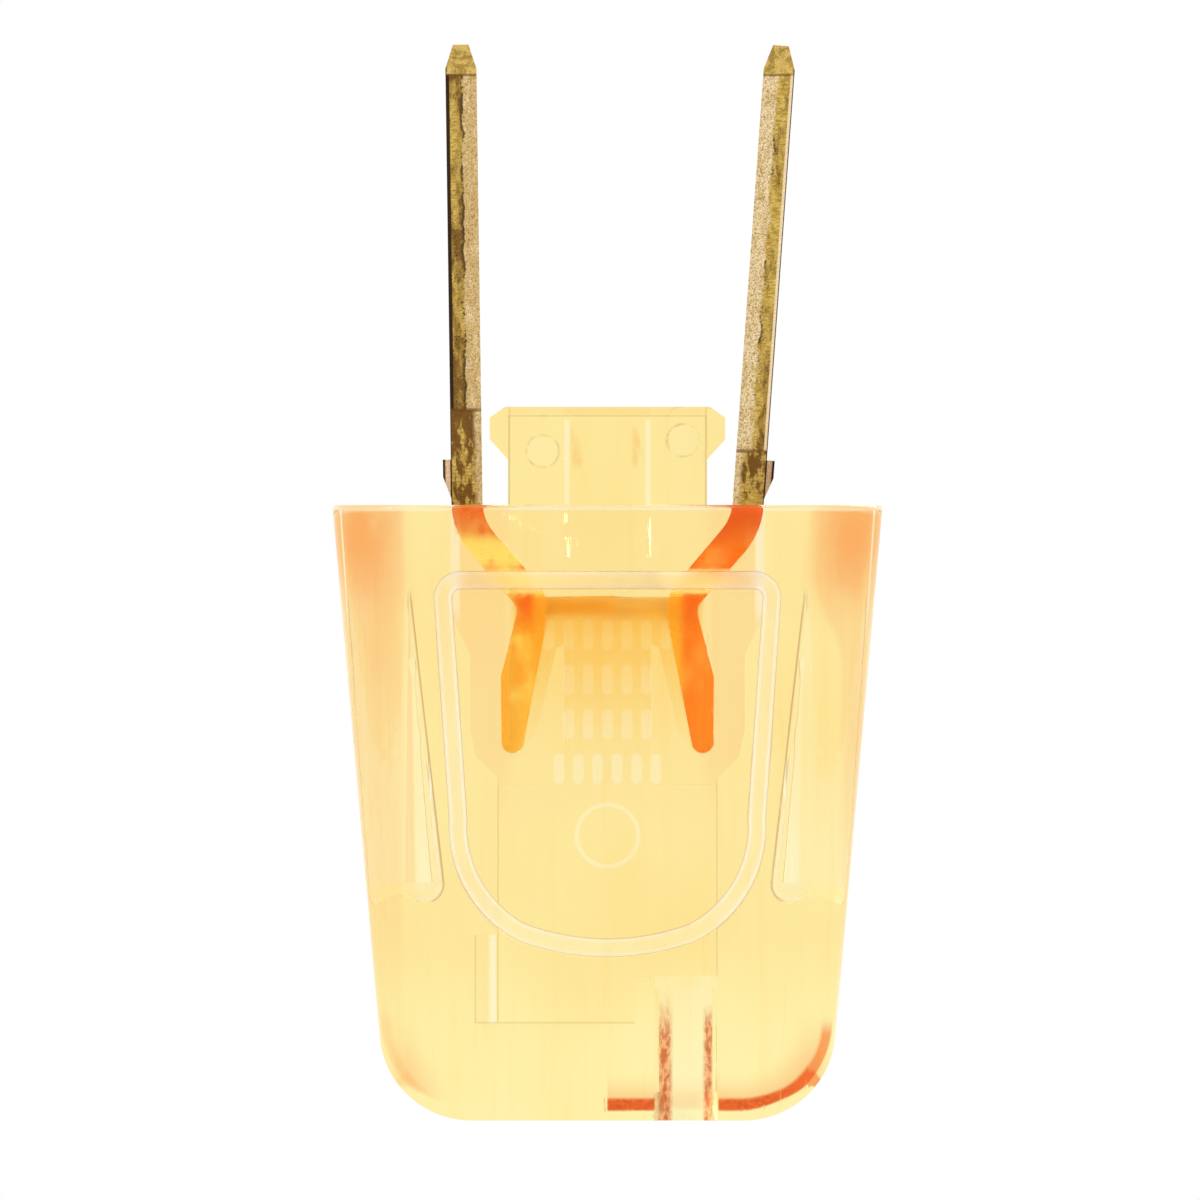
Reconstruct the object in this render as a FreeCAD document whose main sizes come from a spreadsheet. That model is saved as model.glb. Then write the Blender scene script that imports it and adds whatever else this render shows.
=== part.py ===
import FreeCAD, Part
import math
import os

import Sketcher
from FreeCAD import Placement, Rotation, Vector

# Quick-connect two-blade plug for flat two-core cord, stood upright on its cord end.
# Millimetres. +Z runs up towards the blade tips, X runs across the blades, the front is -Y,
# and the origin is the middle of the flat that it stands on.
# The insert stands drawn out of the shell by size.drawn_out, as it does while a cord is fitted.

doc = FreeCAD.newDocument("two_blade_plug")
size = doc.addObject("Spreadsheet::Sheet", "size")

DRIVING = {
    # Shell
    "shell_height": 28.5,
    "mouth_width": 25.5,
    "mouth_depth": 12.8,
    "mouth_corner": 3.6,
    "foot_width": 20.4,
    "foot_depth": 11.4,
    "foot_corner": 0.9,
    "foot_round": 4.25,
    "rim_round": 0.2,
    "floor_height": 4.5,
    "cord_step_height": 6.7,
    "cord_step_width": 0.85,
    "ledge_rise": 0.85,
    "ledge_width": 0.3,
    "ledge_slope": 1.0,
    "shoulder_drop": 1.45,
    "waist_draft": 0.25,
    "throat_drop": 10.4,
    "throat_taper": 2.2,
    "throat_bevel": 1.0,
    "relief_height": 4.1,
    "relief_depth": 1.05,
    "lead_in_depth": 0.6,
    "lead_in_spread": 0.24,
    "slot_flat": 0.04,
    # Panel and finger grips moulded in the shell
    "panel_top": 3.05,
    "panel_bottom": 7.55,
    "panel_width": 16.1,
    "panel_waist": 14.7,
    "panel_waist_rise": 6.45,
    "panel_foot": 8.2,
    "panel_foot_rise": 0.74,
    "panel_corner": 1.25,
    "panel_side_round": 6,
    "panel_foot_round": 11.9,
    "panel_sink": 0.5,
    "panel_slope": 60,
    "mark_rise": 0.14,
    "mark_root": 0.05,
    "mark_height": 1.5,
    "mark_width": 0.5,
    "mark_pitch": 0.9,
    "row_drop": 2.95,
    "row_pitch": 2.07,
    "ring_radius": 1.53,
    "ring_line": 0.2,
    "ring_rise": 5.65,
    "grip_half": 0.9,
    "grip_depth": 0.3,
    "grip_top": 3.6,
    "grip_bottom": 11.0,
    "grip_spread": 9.2,
    "grip_gather": 8.5,
    # Blades
    "blade_spacing": 12.7,
    "blade_width": 6.35,
    "blade_thickness": 1.44,
    "blade_reach": 16.8,
    "tip_thickness": 0.72,
    "tip_bevel": 1.1,
    "hole_width": 3.2,
    "hole_drop": 4.8,
    "bend_drop": 5.45,
    "bend_angle": 40,
    "bend_radius": 2.2,
    "knee_drop": 9.1,
    "knee_round": 0.72,
    "arm_thickness": 1.0,
    "arm_straight": 3.1,
    "pivot_offset": 4.4,
    "pivot_drop": 15.6,
    "barb_rise": 0.37,
    "barb_root": 0.1,
    "barb_length": 1.8,
    "barb_crest": 0.81,
    "barb_width": 2.0,
    "barb_drop": 2.4,
    "tooth_reach": 3.1,
    "tooth_root": 0.1,
    "tooth_width": 2.3,
    "tooth_offset": 0.3,
    "tooth_drop": 0.55,
    "tooth_thickness": 0.85,
    "left_lean": 0.8,
    "left_set": 0,
    "right_lean": 0.5,
    "right_set": 3.6,
    # Insert
    "drawn_out": 4.54,
    "insert_length": 17.45,
    "insert_wall": 1.0,
    "body_width": 9.2,
    "flange_thickness": 1.0,
    "flange_chamfer": 0.5,
    "flange_bevel": 0.7,
    "flange_taper": 0.95,
    "wing_set_back": 0.35,
    "head_bevel": 0.45,
    "head_bevel_drop": 0.45,
    "foot_drop": 0.28,
    "foot_slope": 0.4,
    "cap_thickness": 0.6,
    "channel_width": 4.0,
    "channel_corner": 0.85,
    "channel_corner_depth": 0.3,
    "window_rise": 0.85,
    "window_reach": 1.0,
    "window_step": 0.4,
    "ramp_drop": 0.55,
    "tooth_room_above": 1.8,
    "tooth_room_below": 1.6,
    "seat_angle": 60,
    "pin_mark_width": 1.4,
    "pin_mark_sink": 0.12,
    "left_mark_offset": 3.0,
    "left_mark_drop": 2.05,
    "right_mark_offset": 3.5,
    "right_mark_drop": 1.55,
    # Cord
    "cord_width": 5.3,
    "cord_thickness": 2.8,
    # Fits
    "mouth_gap": 0.2,
    "waist_gap": 0.277,
    "flange_gap": 0.18,
    "blade_side_gap": 0.12,
    "insert_gap": 0.1,
    "arm_gap": 0.2,
    "web_gap": 0.6,
    "knee_gap": 0.2,
    "ramp_gap": 0.25,
    "seat_gap": 0.06,
    "barb_gap": 0.25,
    "cord_gap": 0.16,
    "channel_gap": 0.2,
}
for row, (alias, number) in enumerate(DRIVING.items(), 1):
    size.set(f"A{row}", alias)
    size.set(f"B{row}", str(number))
    size.setAlias(f"B{row}", alias)
doc.recompute()

# A coordinate is an expression of the sizes above, so every sketch follows the sheet.
ORIGIN = (-1, 1)
START, END, CENTRE = 1, 2, 3
# A rounded end's radius over half its chord, a little more than a true half circle.
ROUND_END = 1.02


def number_of(expression):
    """The present value of an expression of the sheet's sizes."""
    value = size.evalExpression(expression.replace("size.", ""))
    return float(getattr(value, "Value", value))


def origin_plane(body, role):
    return next(feature for feature in body.Origin.OriginFeatures if feature.Role == role)


def attach(body, name, role, lift="0", tilt="0"):
    """A sketch on one of the body's own origin planes, lifted off it and tilted about X."""
    sketch = body.newObject("Sketcher::SketchObject", name)
    sketch.AttachmentSupport = (origin_plane(body, role), [""])
    sketch.MapMode = "FlatFace"
    sketch.AttachmentOffset = Placement(Vector(), Rotation(Vector(1, 0, 0), number_of(tilt)))
    sketch.setExpression(".AttachmentOffset.Base.z", lift)
    if tilt != "0":
        sketch.setExpression(".AttachmentOffset.Rotation.Angle", tilt)
    return sketch


def pin(sketch, element, vertex, x, y):
    """Hold one vertex of a sketch at (x, y)."""
    for kind, expression in (("DistanceX", x), ("DistanceY", y)):
        held = sketch.addConstraint(
            Sketcher.Constraint(kind, *ORIGIN, element, vertex, number_of(expression))
        )
        sketch.setExpression(f"Constraints[{held}]", expression)


def hold_radius(sketch, element, radius):
    held = sketch.addConstraint(Sketcher.Constraint("Radius", element, number_of(radius)))
    sketch.setExpression(f"Constraints[{held}]", radius)


def draw_outline(sketch, corners):
    """A closed outline. A corner is (x, y), or (x, y, radius, turn) where the stretch that
    leaves it is an arc: turn is 1 for a left-hand arc and -1 for a right-hand one."""
    ends = []
    for corner, after in zip(corners, corners[1:] + corners[:1]):
        start = Vector(number_of(corner[0]), number_of(corner[1]))
        finish = Vector(number_of(after[0]), number_of(after[1]))
        if len(corner) == 2:
            element = sketch.addGeometry(Part.LineSegment(start, finish), False)
            ends.append((element, START, END))
            continue
        radius, turn = number_of(corner[2]), corner[3]
        chord = finish - start
        rise = math.sqrt(max(radius**2 - (chord.Length / 2) ** 2, 0))
        across = Vector(-chord.y, chord.x).normalize()
        middle = (start + finish) / 2 + across * rise * turn
        first, last = (start, finish) if turn > 0 else (finish, start)
        circle = Part.Circle(middle, Vector(0, 0, 1), radius)
        from_angle = math.atan2(first.y - middle.y, first.x - middle.x)
        to_angle = math.atan2(last.y - middle.y, last.x - middle.x)
        element = sketch.addGeometry(Part.ArcOfCircle(circle, from_angle, to_angle), False)
        ends.append((element, START, END) if turn > 0 else (element, END, START))
        hold_radius(sketch, element, corner[2])
    for (element, _, finish), (after, start, _) in zip(ends, ends[1:] + ends[:1]):
        sketch.addConstraint(Sketcher.Constraint("Coincident", element, finish, after, start))
    for (element, start, _), corner in zip(ends, corners):
        pin(sketch, element, start, corner[0], corner[1])


def draw_circle(sketch, x, y, radius):
    circle = Part.Circle(Vector(number_of(x), number_of(y)), Vector(0, 0, 1), number_of(radius))
    element = sketch.addGeometry(circle, False)
    hold_radius(sketch, element, radius)
    pin(sketch, element, CENTRE, x, y)


def rounded_box(width, depth, corner, x="0"):
    """Corners of a rounded rectangle centred on (x, 0), anticlockwise from its right side."""
    right, left = f"({x} + ({width}) / 2)", f"({x} - ({width}) / 2)"
    top, bottom = f"(({depth}) / 2)", f"(-({depth}) / 2)"
    return [
        (right, f"{bottom} + {corner}"),
        (right, f"{top} - {corner}", corner, 1),
        (f"{right} - {corner}", top),
        (f"{left} + {corner}", top, corner, 1),
        (left, f"{top} - {corner}"),
        (left, f"{bottom} + {corner}", corner, 1),
        (f"{left} + {corner}", bottom),
        (f"{right} - {corner}", bottom, corner, 1),
    ]


def mirrored(corners):
    """The same outline on the other side of the middle."""
    return [(f"-({x})", y) for x, y in corners]


def pad(body, name, sketch, length, both_ways=False, reverse=False, taper="0"):
    return extrude(body, "PartDesign::Pad", name, sketch, length, both_ways, reverse, taper)


def cut(body, name, sketch, length, both_ways=False, reverse=False, taper="0"):
    return extrude(body, "PartDesign::Pocket", name, sketch, length, both_ways, reverse, taper)


def extrude(body, kind, name, sketch, length, both_ways, reverse, taper):
    before = body.Shape.Volume if body.Tip else 0
    feature = body.newObject(kind, name)
    feature.Profile = sketch
    feature.setExpression("Length", length)
    feature.Midplane = both_ways
    feature.Reversed = reverse
    if taper != "0":
        feature.setExpression("TaperAngle", taper)
    doc.recompute()
    grown = body.Shape.Volume - before
    if (grown > 0) != (kind == "PartDesign::Pad") or abs(grown) < 1e-4:
        raise SystemExit(f"{name} changes the volume by {grown:.4f}")
    return feature


def edges_near(shape, places, reach=0.02):
    """Names of the edges whose middle lies at one of the given places."""
    names = []
    for index, edge in enumerate(shape.Edges, 1):
        middle = edge.valueAt((edge.FirstParameter + edge.LastParameter) / 2)
        if any((middle - place).Length < reach for place in places):
            names.append(f"Edge{index}")
    return names


def dress(body, kind, name, places, prop, amount):
    """A fillet or chamfer on the edges whose middles lie at the given places."""
    base = body.Tip
    names = edges_near(base.Shape, places)
    if len(names) != len(places):
        raise SystemExit(f"{name} finds {len(names)} edges of {len(places)}")
    feature = body.newObject(kind, name)
    feature.Base = (base, names)
    feature.setExpression(prop, amount)
    doc.recompute()
    return feature


# Places that more than one piece is made to.
TOP_AT_REST = "size.shell_height + size.drawn_out"
MOUTH_HALF = "((size.blade_spacing + size.blade_thickness) / 2 + size.mouth_gap)"
WINDOW_DEPTH = "(size.blade_width + 2 * size.blade_side_gap)"
INSERT_DEPTH = f"({WINDOW_DEPTH} + 2 * size.insert_wall)"
CAVITY_DEPTH = f"({INSERT_DEPTH} + 2 * size.insert_gap)"
ARM_OUTSIDE = "(size.pivot_offset + size.arm_thickness / 2)"
THROAT_HALF = f"({ARM_OUTSIDE} + size.arm_gap)"
SLOT_WIDTH = "(size.cord_thickness + size.cord_gap)"
SLOT_DEPTH = "(size.cord_width + 2 * size.cord_gap)"
SLOT_OFFSET = f"({THROAT_HALF} - {SLOT_WIDTH} / 2)"
KNEE_OFFSET = "(size.blade_spacing / 2 - (size.knee_drop - size.bend_drop) * tan(size.bend_angle))"
FACE_TILT = "atan((size.mouth_depth - size.foot_depth) / 2 / size.shell_height)"


# Shell: one moulding of clear amber plastic, wide at the mouth and narrow at the cord end.
housing = doc.addObject("PartDesign::Body", "housing")
foot = attach(housing, "foot_outline", "XY_Plane")
draw_outline(foot, rounded_box("size.foot_width", "size.foot_depth", "size.foot_corner"))
mouth = attach(housing, "mouth_outline", "XY_Plane", "size.shell_height")
draw_outline(mouth, rounded_box("size.mouth_width", "size.mouth_depth", "size.mouth_corner"))
block = housing.newObject("PartDesign::AdditiveLoft", "shell_block")
block.Profile = foot
block.Sections = [mouth]
block.Ruled = True
doc.recompute()

# The foot is rounded over at each end, where the sloping side meets the flat.
side_slope = "atan((size.mouth_width - size.foot_width) / 2 / size.shell_height)"
tangent_length = f"(size.foot_round * tan((90 deg - {side_slope}) / 2))"
flat_end = f"(size.foot_width / 2 - {tangent_length})"
round_end_x = f"(size.foot_width / 2 + {tangent_length} * sin({side_slope}))"
round_end_z = f"({tangent_length} * cos({side_slope}))"
for side, which in ((1, "right"), (-1, "left")):
    corner = attach(housing, f"foot_end_{which}", "XZ_Plane")
    draw_outline(corner, [
        (f"{side} * {flat_end}", "0", "size.foot_round", side),
        (f"{side} * {round_end_x}", round_end_z),
        (f"{side} * size.mouth_width", round_end_z),
        (f"{side} * size.mouth_width", "-size.foot_round"),
        (f"{side} * {flat_end}", "-size.foot_round"),
    ])
    cut(housing, f"foot_corner_{which}", corner, "2 * size.mouth_depth", both_ways=True)

# Cavity: wide at the mouth for the blade roots, stepped in below them to guide the insert,
# with a raised step round the cord slot and a relief in the opposite wall for spare cord.
bend_height = "(size.shell_height - size.bend_drop)"
ledge_height = f"({bend_height} + size.ledge_rise)"
bent_blade = "(size.blade_thickness / 2 / cos(size.bend_angle) - size.shoulder_drop * tan(size.bend_angle))"
waist_half = f"(size.blade_spacing / 2 + {bent_blade} + size.waist_gap)"
throat_top = "(size.shell_height - size.throat_drop)"
throat_bottom = f"({throat_top} - size.throat_taper)"
step_edge = f"({SLOT_OFFSET} - {SLOT_WIDTH} / 2 - size.cord_step_width)"
right_wall = [
    (MOUTH_HALF, "size.shell_height + size.rim_round"),
    (MOUTH_HALF, ledge_height),
    (f"{MOUTH_HALF} - size.ledge_width", f"{ledge_height} - size.ledge_slope"),
    (waist_half, f"{bend_height} - size.shoulder_drop"),
    (waist_half, throat_top),
    (f"{waist_half} - size.waist_draft", f"{throat_bottom} + size.throat_bevel"),
    (THROAT_HALF, throat_bottom),
]
cavity = attach(housing, "cavity_outline", "XZ_Plane")
draw_outline(cavity, right_wall + [
    (THROAT_HALF, "size.cord_step_height"),
    (step_edge, "size.cord_step_height"),
    (step_edge, "size.floor_height"),
    (f"-{THROAT_HALF} - size.relief_depth", "size.floor_height"),
    (f"-{THROAT_HALF} - size.relief_depth", "size.floor_height + size.relief_height"),
    (f"-{THROAT_HALF}", "size.floor_height + size.relief_height"),
] + mirrored(right_wall)[::-1])
cut(housing, "cavity", cavity, CAVITY_DEPTH, both_ways=True)

# Two shallow keyways in the mouth walls let the barbs of the blades slide home.
blade_outside = "((size.blade_spacing + size.blade_thickness) / 2)"
keyway_outside = f"({blade_outside} + size.barb_rise + size.barb_gap)"
keyway_half = "(size.barb_width / 2 + size.barb_gap)"
keyway = attach(housing, "keyway_outline", "XY_Plane", "size.shell_height")
for side in (1, -1):
    draw_outline(keyway, [
        (f"{side} * {blade_outside}", f"-{keyway_half}"),
        (f"{side} * {keyway_outside}", f"-{keyway_half}"),
        (f"{side} * {keyway_outside}", keyway_half),
        (f"{side} * {blade_outside}", keyway_half),
    ])
cut(housing, "barb_keyways", keyway, "size.barb_drop + size.barb_length + size.barb_gap")

# Cord slot: a flat-cord hole through the foot, close to the right wall of the cavity.
slot = attach(housing, "cord_slot_outline", "XY_Plane")
slot_corner = f"(({SLOT_WIDTH} - size.slot_flat) / 2)"
draw_outline(slot, rounded_box(SLOT_WIDTH, SLOT_DEPTH, slot_corner, SLOT_OFFSET))
cut(housing, "cord_slot", slot, "size.cord_step_height + size.lead_in_depth", reverse=True)
lead_in = attach(housing, "lead_in_outline", "XY_Plane", "size.cord_step_height - size.lead_in_depth")
spread = "2 * size.lead_in_spread"
draw_outline(lead_in, rounded_box(f"{SLOT_WIDTH} + {spread}", f"{SLOT_DEPTH} + {spread}",
                                  f"{slot_corner} + size.lead_in_spread", SLOT_OFFSET))
cut(housing, "cord_lead_in", lead_in, "size.lead_in_depth", reverse=True)

# Front and back alike carry a sunk shield-shaped panel with sloping edges.
panel_top = "(size.shell_height - size.panel_top)"
top_edge = "(size.panel_width / 2 - size.panel_corner)"
corner_height = f"({panel_top} - size.panel_corner)"
waist_height = "(size.panel_bottom + size.panel_waist_rise)"
panel_foot_height = "(size.panel_bottom + size.panel_foot_rise)"
panel = attach(housing, "panel_outline", "XZ_Plane", "size.foot_depth / 2", FACE_TILT)
draw_outline(panel, [
    ("-size.panel_width / 2", corner_height),
    ("-size.panel_waist / 2", waist_height, "size.panel_side_round", 1),
    ("-size.panel_foot / 2", panel_foot_height, "size.panel_foot_round", 1),
    ("size.panel_foot / 2", panel_foot_height, "size.panel_side_round", 1),
    ("size.panel_waist / 2", waist_height),
    ("size.panel_width / 2", corner_height, "size.panel_corner", 1),
    (top_edge, panel_top),
    (f"-{top_edge}", panel_top, "size.panel_corner", 1),
])
cut(housing, "front_panel", panel, "size.panel_sink", taper="-size.panel_slope")

back_panel = housing.newObject("PartDesign::Mirrored", "back_panel")
back_panel.Originals = [housing.getObject("front_panel")]
back_panel.MirrorPlane = (origin_plane(housing, "XZ_Plane"), [""])
housing.Tip = back_panel
doc.recompute()

# Low raised bars and a plain ring stand on the front panel, rooted a little under its floor.
root_plane = "size.foot_depth / 2 - size.panel_sink - size.mark_root"
half_wide = "size.mark_width / 2"
straight = "(size.mark_height / 2 - size.mark_width / 2)"
for number, count in enumerate((7, 5, 5, 6)):
    row = attach(housing, f"marks_outline_{number}", "XZ_Plane", root_plane, FACE_TILT)
    middle = f"({panel_top} - size.row_drop - {number} * size.row_pitch)"
    for place in range(count):
        across = f"({place - (count - 1) / 2} * size.mark_pitch)"
        draw_outline(row, [
            (f"{across} + {half_wide}", f"{middle} - {straight}"),
            (f"{across} + {half_wide}", f"{middle} + {straight}", f"{ROUND_END} * {half_wide}", 1),
            (f"{across} - {half_wide}", f"{middle} + {straight}"),
            (f"{across} - {half_wide}", f"{middle} - {straight}", f"{ROUND_END} * {half_wide}", 1),
        ])
    pad(housing, f"marks_{number}", row, "size.mark_rise + size.mark_root")
ring = attach(housing, "ring_outline", "XZ_Plane", root_plane, FACE_TILT)
ring_height = "size.panel_bottom + size.ring_rise"
draw_circle(ring, "0", ring_height, "size.ring_radius")
draw_circle(ring, "0", ring_height, "size.ring_radius - size.ring_line")
pad(housing, "ring", ring, "size.mark_rise + size.mark_root")

# Finger grips: a shallow tapered scoop beside the panel at each corner of the shell. Its axis
# meets the face at the scoop's point and stands off it at the wide end.
grip_apex = ("size.grip_spread", "(size.shell_height - size.grip_top)")
grip_length = f"({grip_apex[1]} - size.grip_bottom)"
grip_lean = f"atan((size.grip_spread - size.grip_gather) / {grip_length})"
grip_radius = "((size.grip_half * size.grip_half / size.grip_depth + size.grip_depth) / 2)"
grip_tilt = f"({FACE_TILT} - atan(({grip_radius} - size.grip_depth) / {grip_length}))"
grip_plane = f"size.foot_depth / 2 + {grip_apex[1]} * (tan({FACE_TILT}) - tan({grip_tilt}))"
scoop = attach(housing, "grip_outline", "XZ_Plane", grip_plane, grip_tilt)
draw_outline(scoop, [
    grip_apex,
    (f"size.grip_gather - {grip_radius} * cos({grip_lean})",
     f"size.grip_bottom + {grip_radius} * sin({grip_lean})", grip_radius, 1),
    (f"size.grip_gather - {grip_radius} * sin({grip_lean})",
     f"size.grip_bottom - {grip_radius} * cos({grip_lean})"),
])
grip = housing.newObject("PartDesign::Groove", "grip")
grip.Profile = scoop
grip.ReferenceAxis = (scoop, ["Edge3"])
grip.Angle = 360
doc.recompute()
grips = housing.newObject("PartDesign::MultiTransform", "grips")
grips.Originals = [grip]
steps = []
for role in ("YZ_Plane", "XZ_Plane"):
    step = housing.newObject("PartDesign::Mirrored", f"grips_{role[:2]}")
    step.MirrorPlane = (origin_plane(housing, role), [""])
    steps.append(step)
grips.Transformations = steps
housing.Tip = grips
doc.recompute()

# The outer edge of the mouth is just broken.
inset = "size.mouth_corner * (1 - cos(45))"
half_width, half_depth = "size.mouth_width / 2", "size.mouth_depth / 2"
rim = [
    Vector(right * number_of(x), back * number_of(y), number_of("size.shell_height"))
    for right, back, x, y in (
        (1, 0, half_width, "0"), (-1, 0, half_width, "0"), (0, 1, "0", half_depth), (0, -1, "0", half_depth),
        *((right, back, f"{half_width} - {inset}", f"{half_depth} - {inset}")
          for right in (1, -1) for back in (1, -1)),
    )
]
dress(housing, "PartDesign::Fillet", "mouth_rim", rim, "Radius", "size.rim_round")

# Insert: the sliding core of the same plastic. Its frame starts at its top face, which comes
# flush with the mouth of the shell when it is pushed home.
insert = doc.addObject("PartDesign::Body", "insert")
insert.setExpression(".Placement.Base.z", TOP_AT_REST)
flange_bottom = "(size.flange_chamfer + size.flange_thickness)"
foot_half = f"({THROAT_HALF} - size.insert_gap)"
foot_top = "(size.pivot_drop + size.foot_drop)"
flange_half = "((size.blade_spacing - size.blade_thickness) / 2 - size.flange_gap)"
right_side = [
    (f"{flange_half} - size.flange_bevel", "0"),
    (flange_half, "-size.flange_chamfer"),
    (flange_half, f"-{flange_bottom}"),
    ("size.body_width / 2", f"-{flange_bottom} - size.flange_taper"),
    ("size.body_width / 2", f"-{foot_top} + size.foot_slope"),
    (foot_half, f"-{foot_top}"),
    (foot_half, "-size.insert_length"),
]
profile = attach(insert, "insert_outline", "XZ_Plane")
draw_outline(profile, right_side + mirrored(right_side)[::-1])
pad(insert, "insert_block", profile, INSERT_DEPTH, both_ways=True)

# The head stands a little proud of its two wings, and is bevelled along its top edges.
wing_foot = f"-{flange_bottom} - size.flange_taper"
wings = attach(insert, "wings_outline", "XZ_Plane", f"{INSERT_DEPTH} / 2")
top_bevel = attach(insert, "top_bevel_outline", "YZ_Plane")
for side in (1, -1):
    draw_outline(wings, [
        (f"{side} * size.body_width / 2", "size.flange_chamfer"),
        (f"{side} * size.body_width / 2", wing_foot),
        (f"{side} * ({flange_half} + size.flange_bevel)", wing_foot),
        (f"{side} * ({flange_half} + size.flange_bevel)", "size.flange_chamfer"),
    ])
    draw_outline(top_bevel, [
        (f"{side} * {INSERT_DEPTH} / 2", "-size.head_bevel_drop"),
        (f"{side} * {INSERT_DEPTH} / 2", "size.head_bevel"),
        (f"{side} * ({INSERT_DEPTH} / 2 - size.head_bevel)", "size.head_bevel"),
        (f"{side} * ({INSERT_DEPTH} / 2 - size.head_bevel)", "0"),
    ])
cut(insert, "front_wings", wings, "size.wing_set_back")
back_wings = insert.newObject("PartDesign::Mirrored", "back_wings")
back_wings.Originals = [insert.getObject("front_wings")]
back_wings.MirrorPlane = (origin_plane(insert, "XZ_Plane"), [""])
insert.Tip = back_wings
doc.recompute()
cut(insert, "head_bevel", top_bevel, "2 * size.body_width", both_ways=True)

# The cord goes up an eight-sided channel that stops under the cap.
channel = attach(insert, "channel_outline", "XY_Plane", "-size.insert_length")
channel_half = "(size.channel_width / 2)"
channel_depth = f"({SLOT_DEPTH} / 2 + size.channel_gap)"
quarter = [
    (channel_half, f"{channel_depth} - size.channel_corner_depth"),
    (f"{channel_half} - size.channel_corner", channel_depth),
]
draw_outline(channel, quarter + mirrored(quarter)[::-1]
             + [(f"-({x})", f"-({y})") for x, y in quarter]
             + [(x, f"-({y})") for x, y in quarter[::-1]])
cut(insert, "cord_channel", channel, "size.insert_length - size.cap_thickness", reverse=True)

# A window in each side takes the blade: a ramp under its bend, an opening into the channel for
# its tooth, a web behind its arm and a round seat for the arm's end.
seat_radius = "(size.arm_thickness / 2 + size.seat_gap)"
seat_foot = f"-size.pivot_drop - {seat_radius} * sin(size.seat_angle)"
knee_inside = f"({KNEE_OFFSET} - size.blade_thickness / 2)"
channel_inside = f"{channel_half} - size.window_reach"
above_tooth = "(-size.knee_drop + size.tooth_room_above)"
below_tooth = "(-size.knee_drop - size.tooth_room_below)"
window = [
    (THROAT_HALF, "-size.bend_drop + size.window_rise"),
    (f"{knee_inside} + size.ramp_gap", "-size.bend_drop - size.ramp_drop"),
    (f"{knee_inside} - size.knee_gap", f"{above_tooth} + size.window_step"),
    (channel_inside, above_tooth),
    (channel_inside, below_tooth),
    (f"{knee_inside} - size.knee_gap", f"{below_tooth} - size.window_step"),
    ("size.pivot_offset - size.arm_thickness / 2 - size.web_gap", "-size.pivot_drop + size.web_gap"),
    (f"size.pivot_offset - {seat_radius}", "-size.pivot_drop", seat_radius, 1),
    (f"size.pivot_offset + {seat_radius} * cos(size.seat_angle)", seat_foot),
    (THROAT_HALF, seat_foot),
]
windows = attach(insert, "windows_outline", "XZ_Plane")
draw_outline(windows, window)
draw_outline(windows, [(f"-({c[0]})", c[1]) if len(c) == 2 else (f"-({c[0]})", c[1], c[2], -c[3])
                       for c in window])
cut(insert, "blade_windows", windows, WINDOW_DEPTH, both_ways=True)

# Two round ejector marks on the head.
pin_marks = attach(insert, "pin_marks_outline", "XZ_Plane", f"{INSERT_DEPTH} / 2")
draw_circle(pin_marks, "-size.left_mark_offset", "-size.left_mark_drop", "size.pin_mark_width / 2")
draw_circle(pin_marks, "size.right_mark_offset", "-size.right_mark_drop", "size.pin_mark_width / 2")
cut(insert, "pin_marks", pin_marks, "size.pin_mark_sink")


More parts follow.
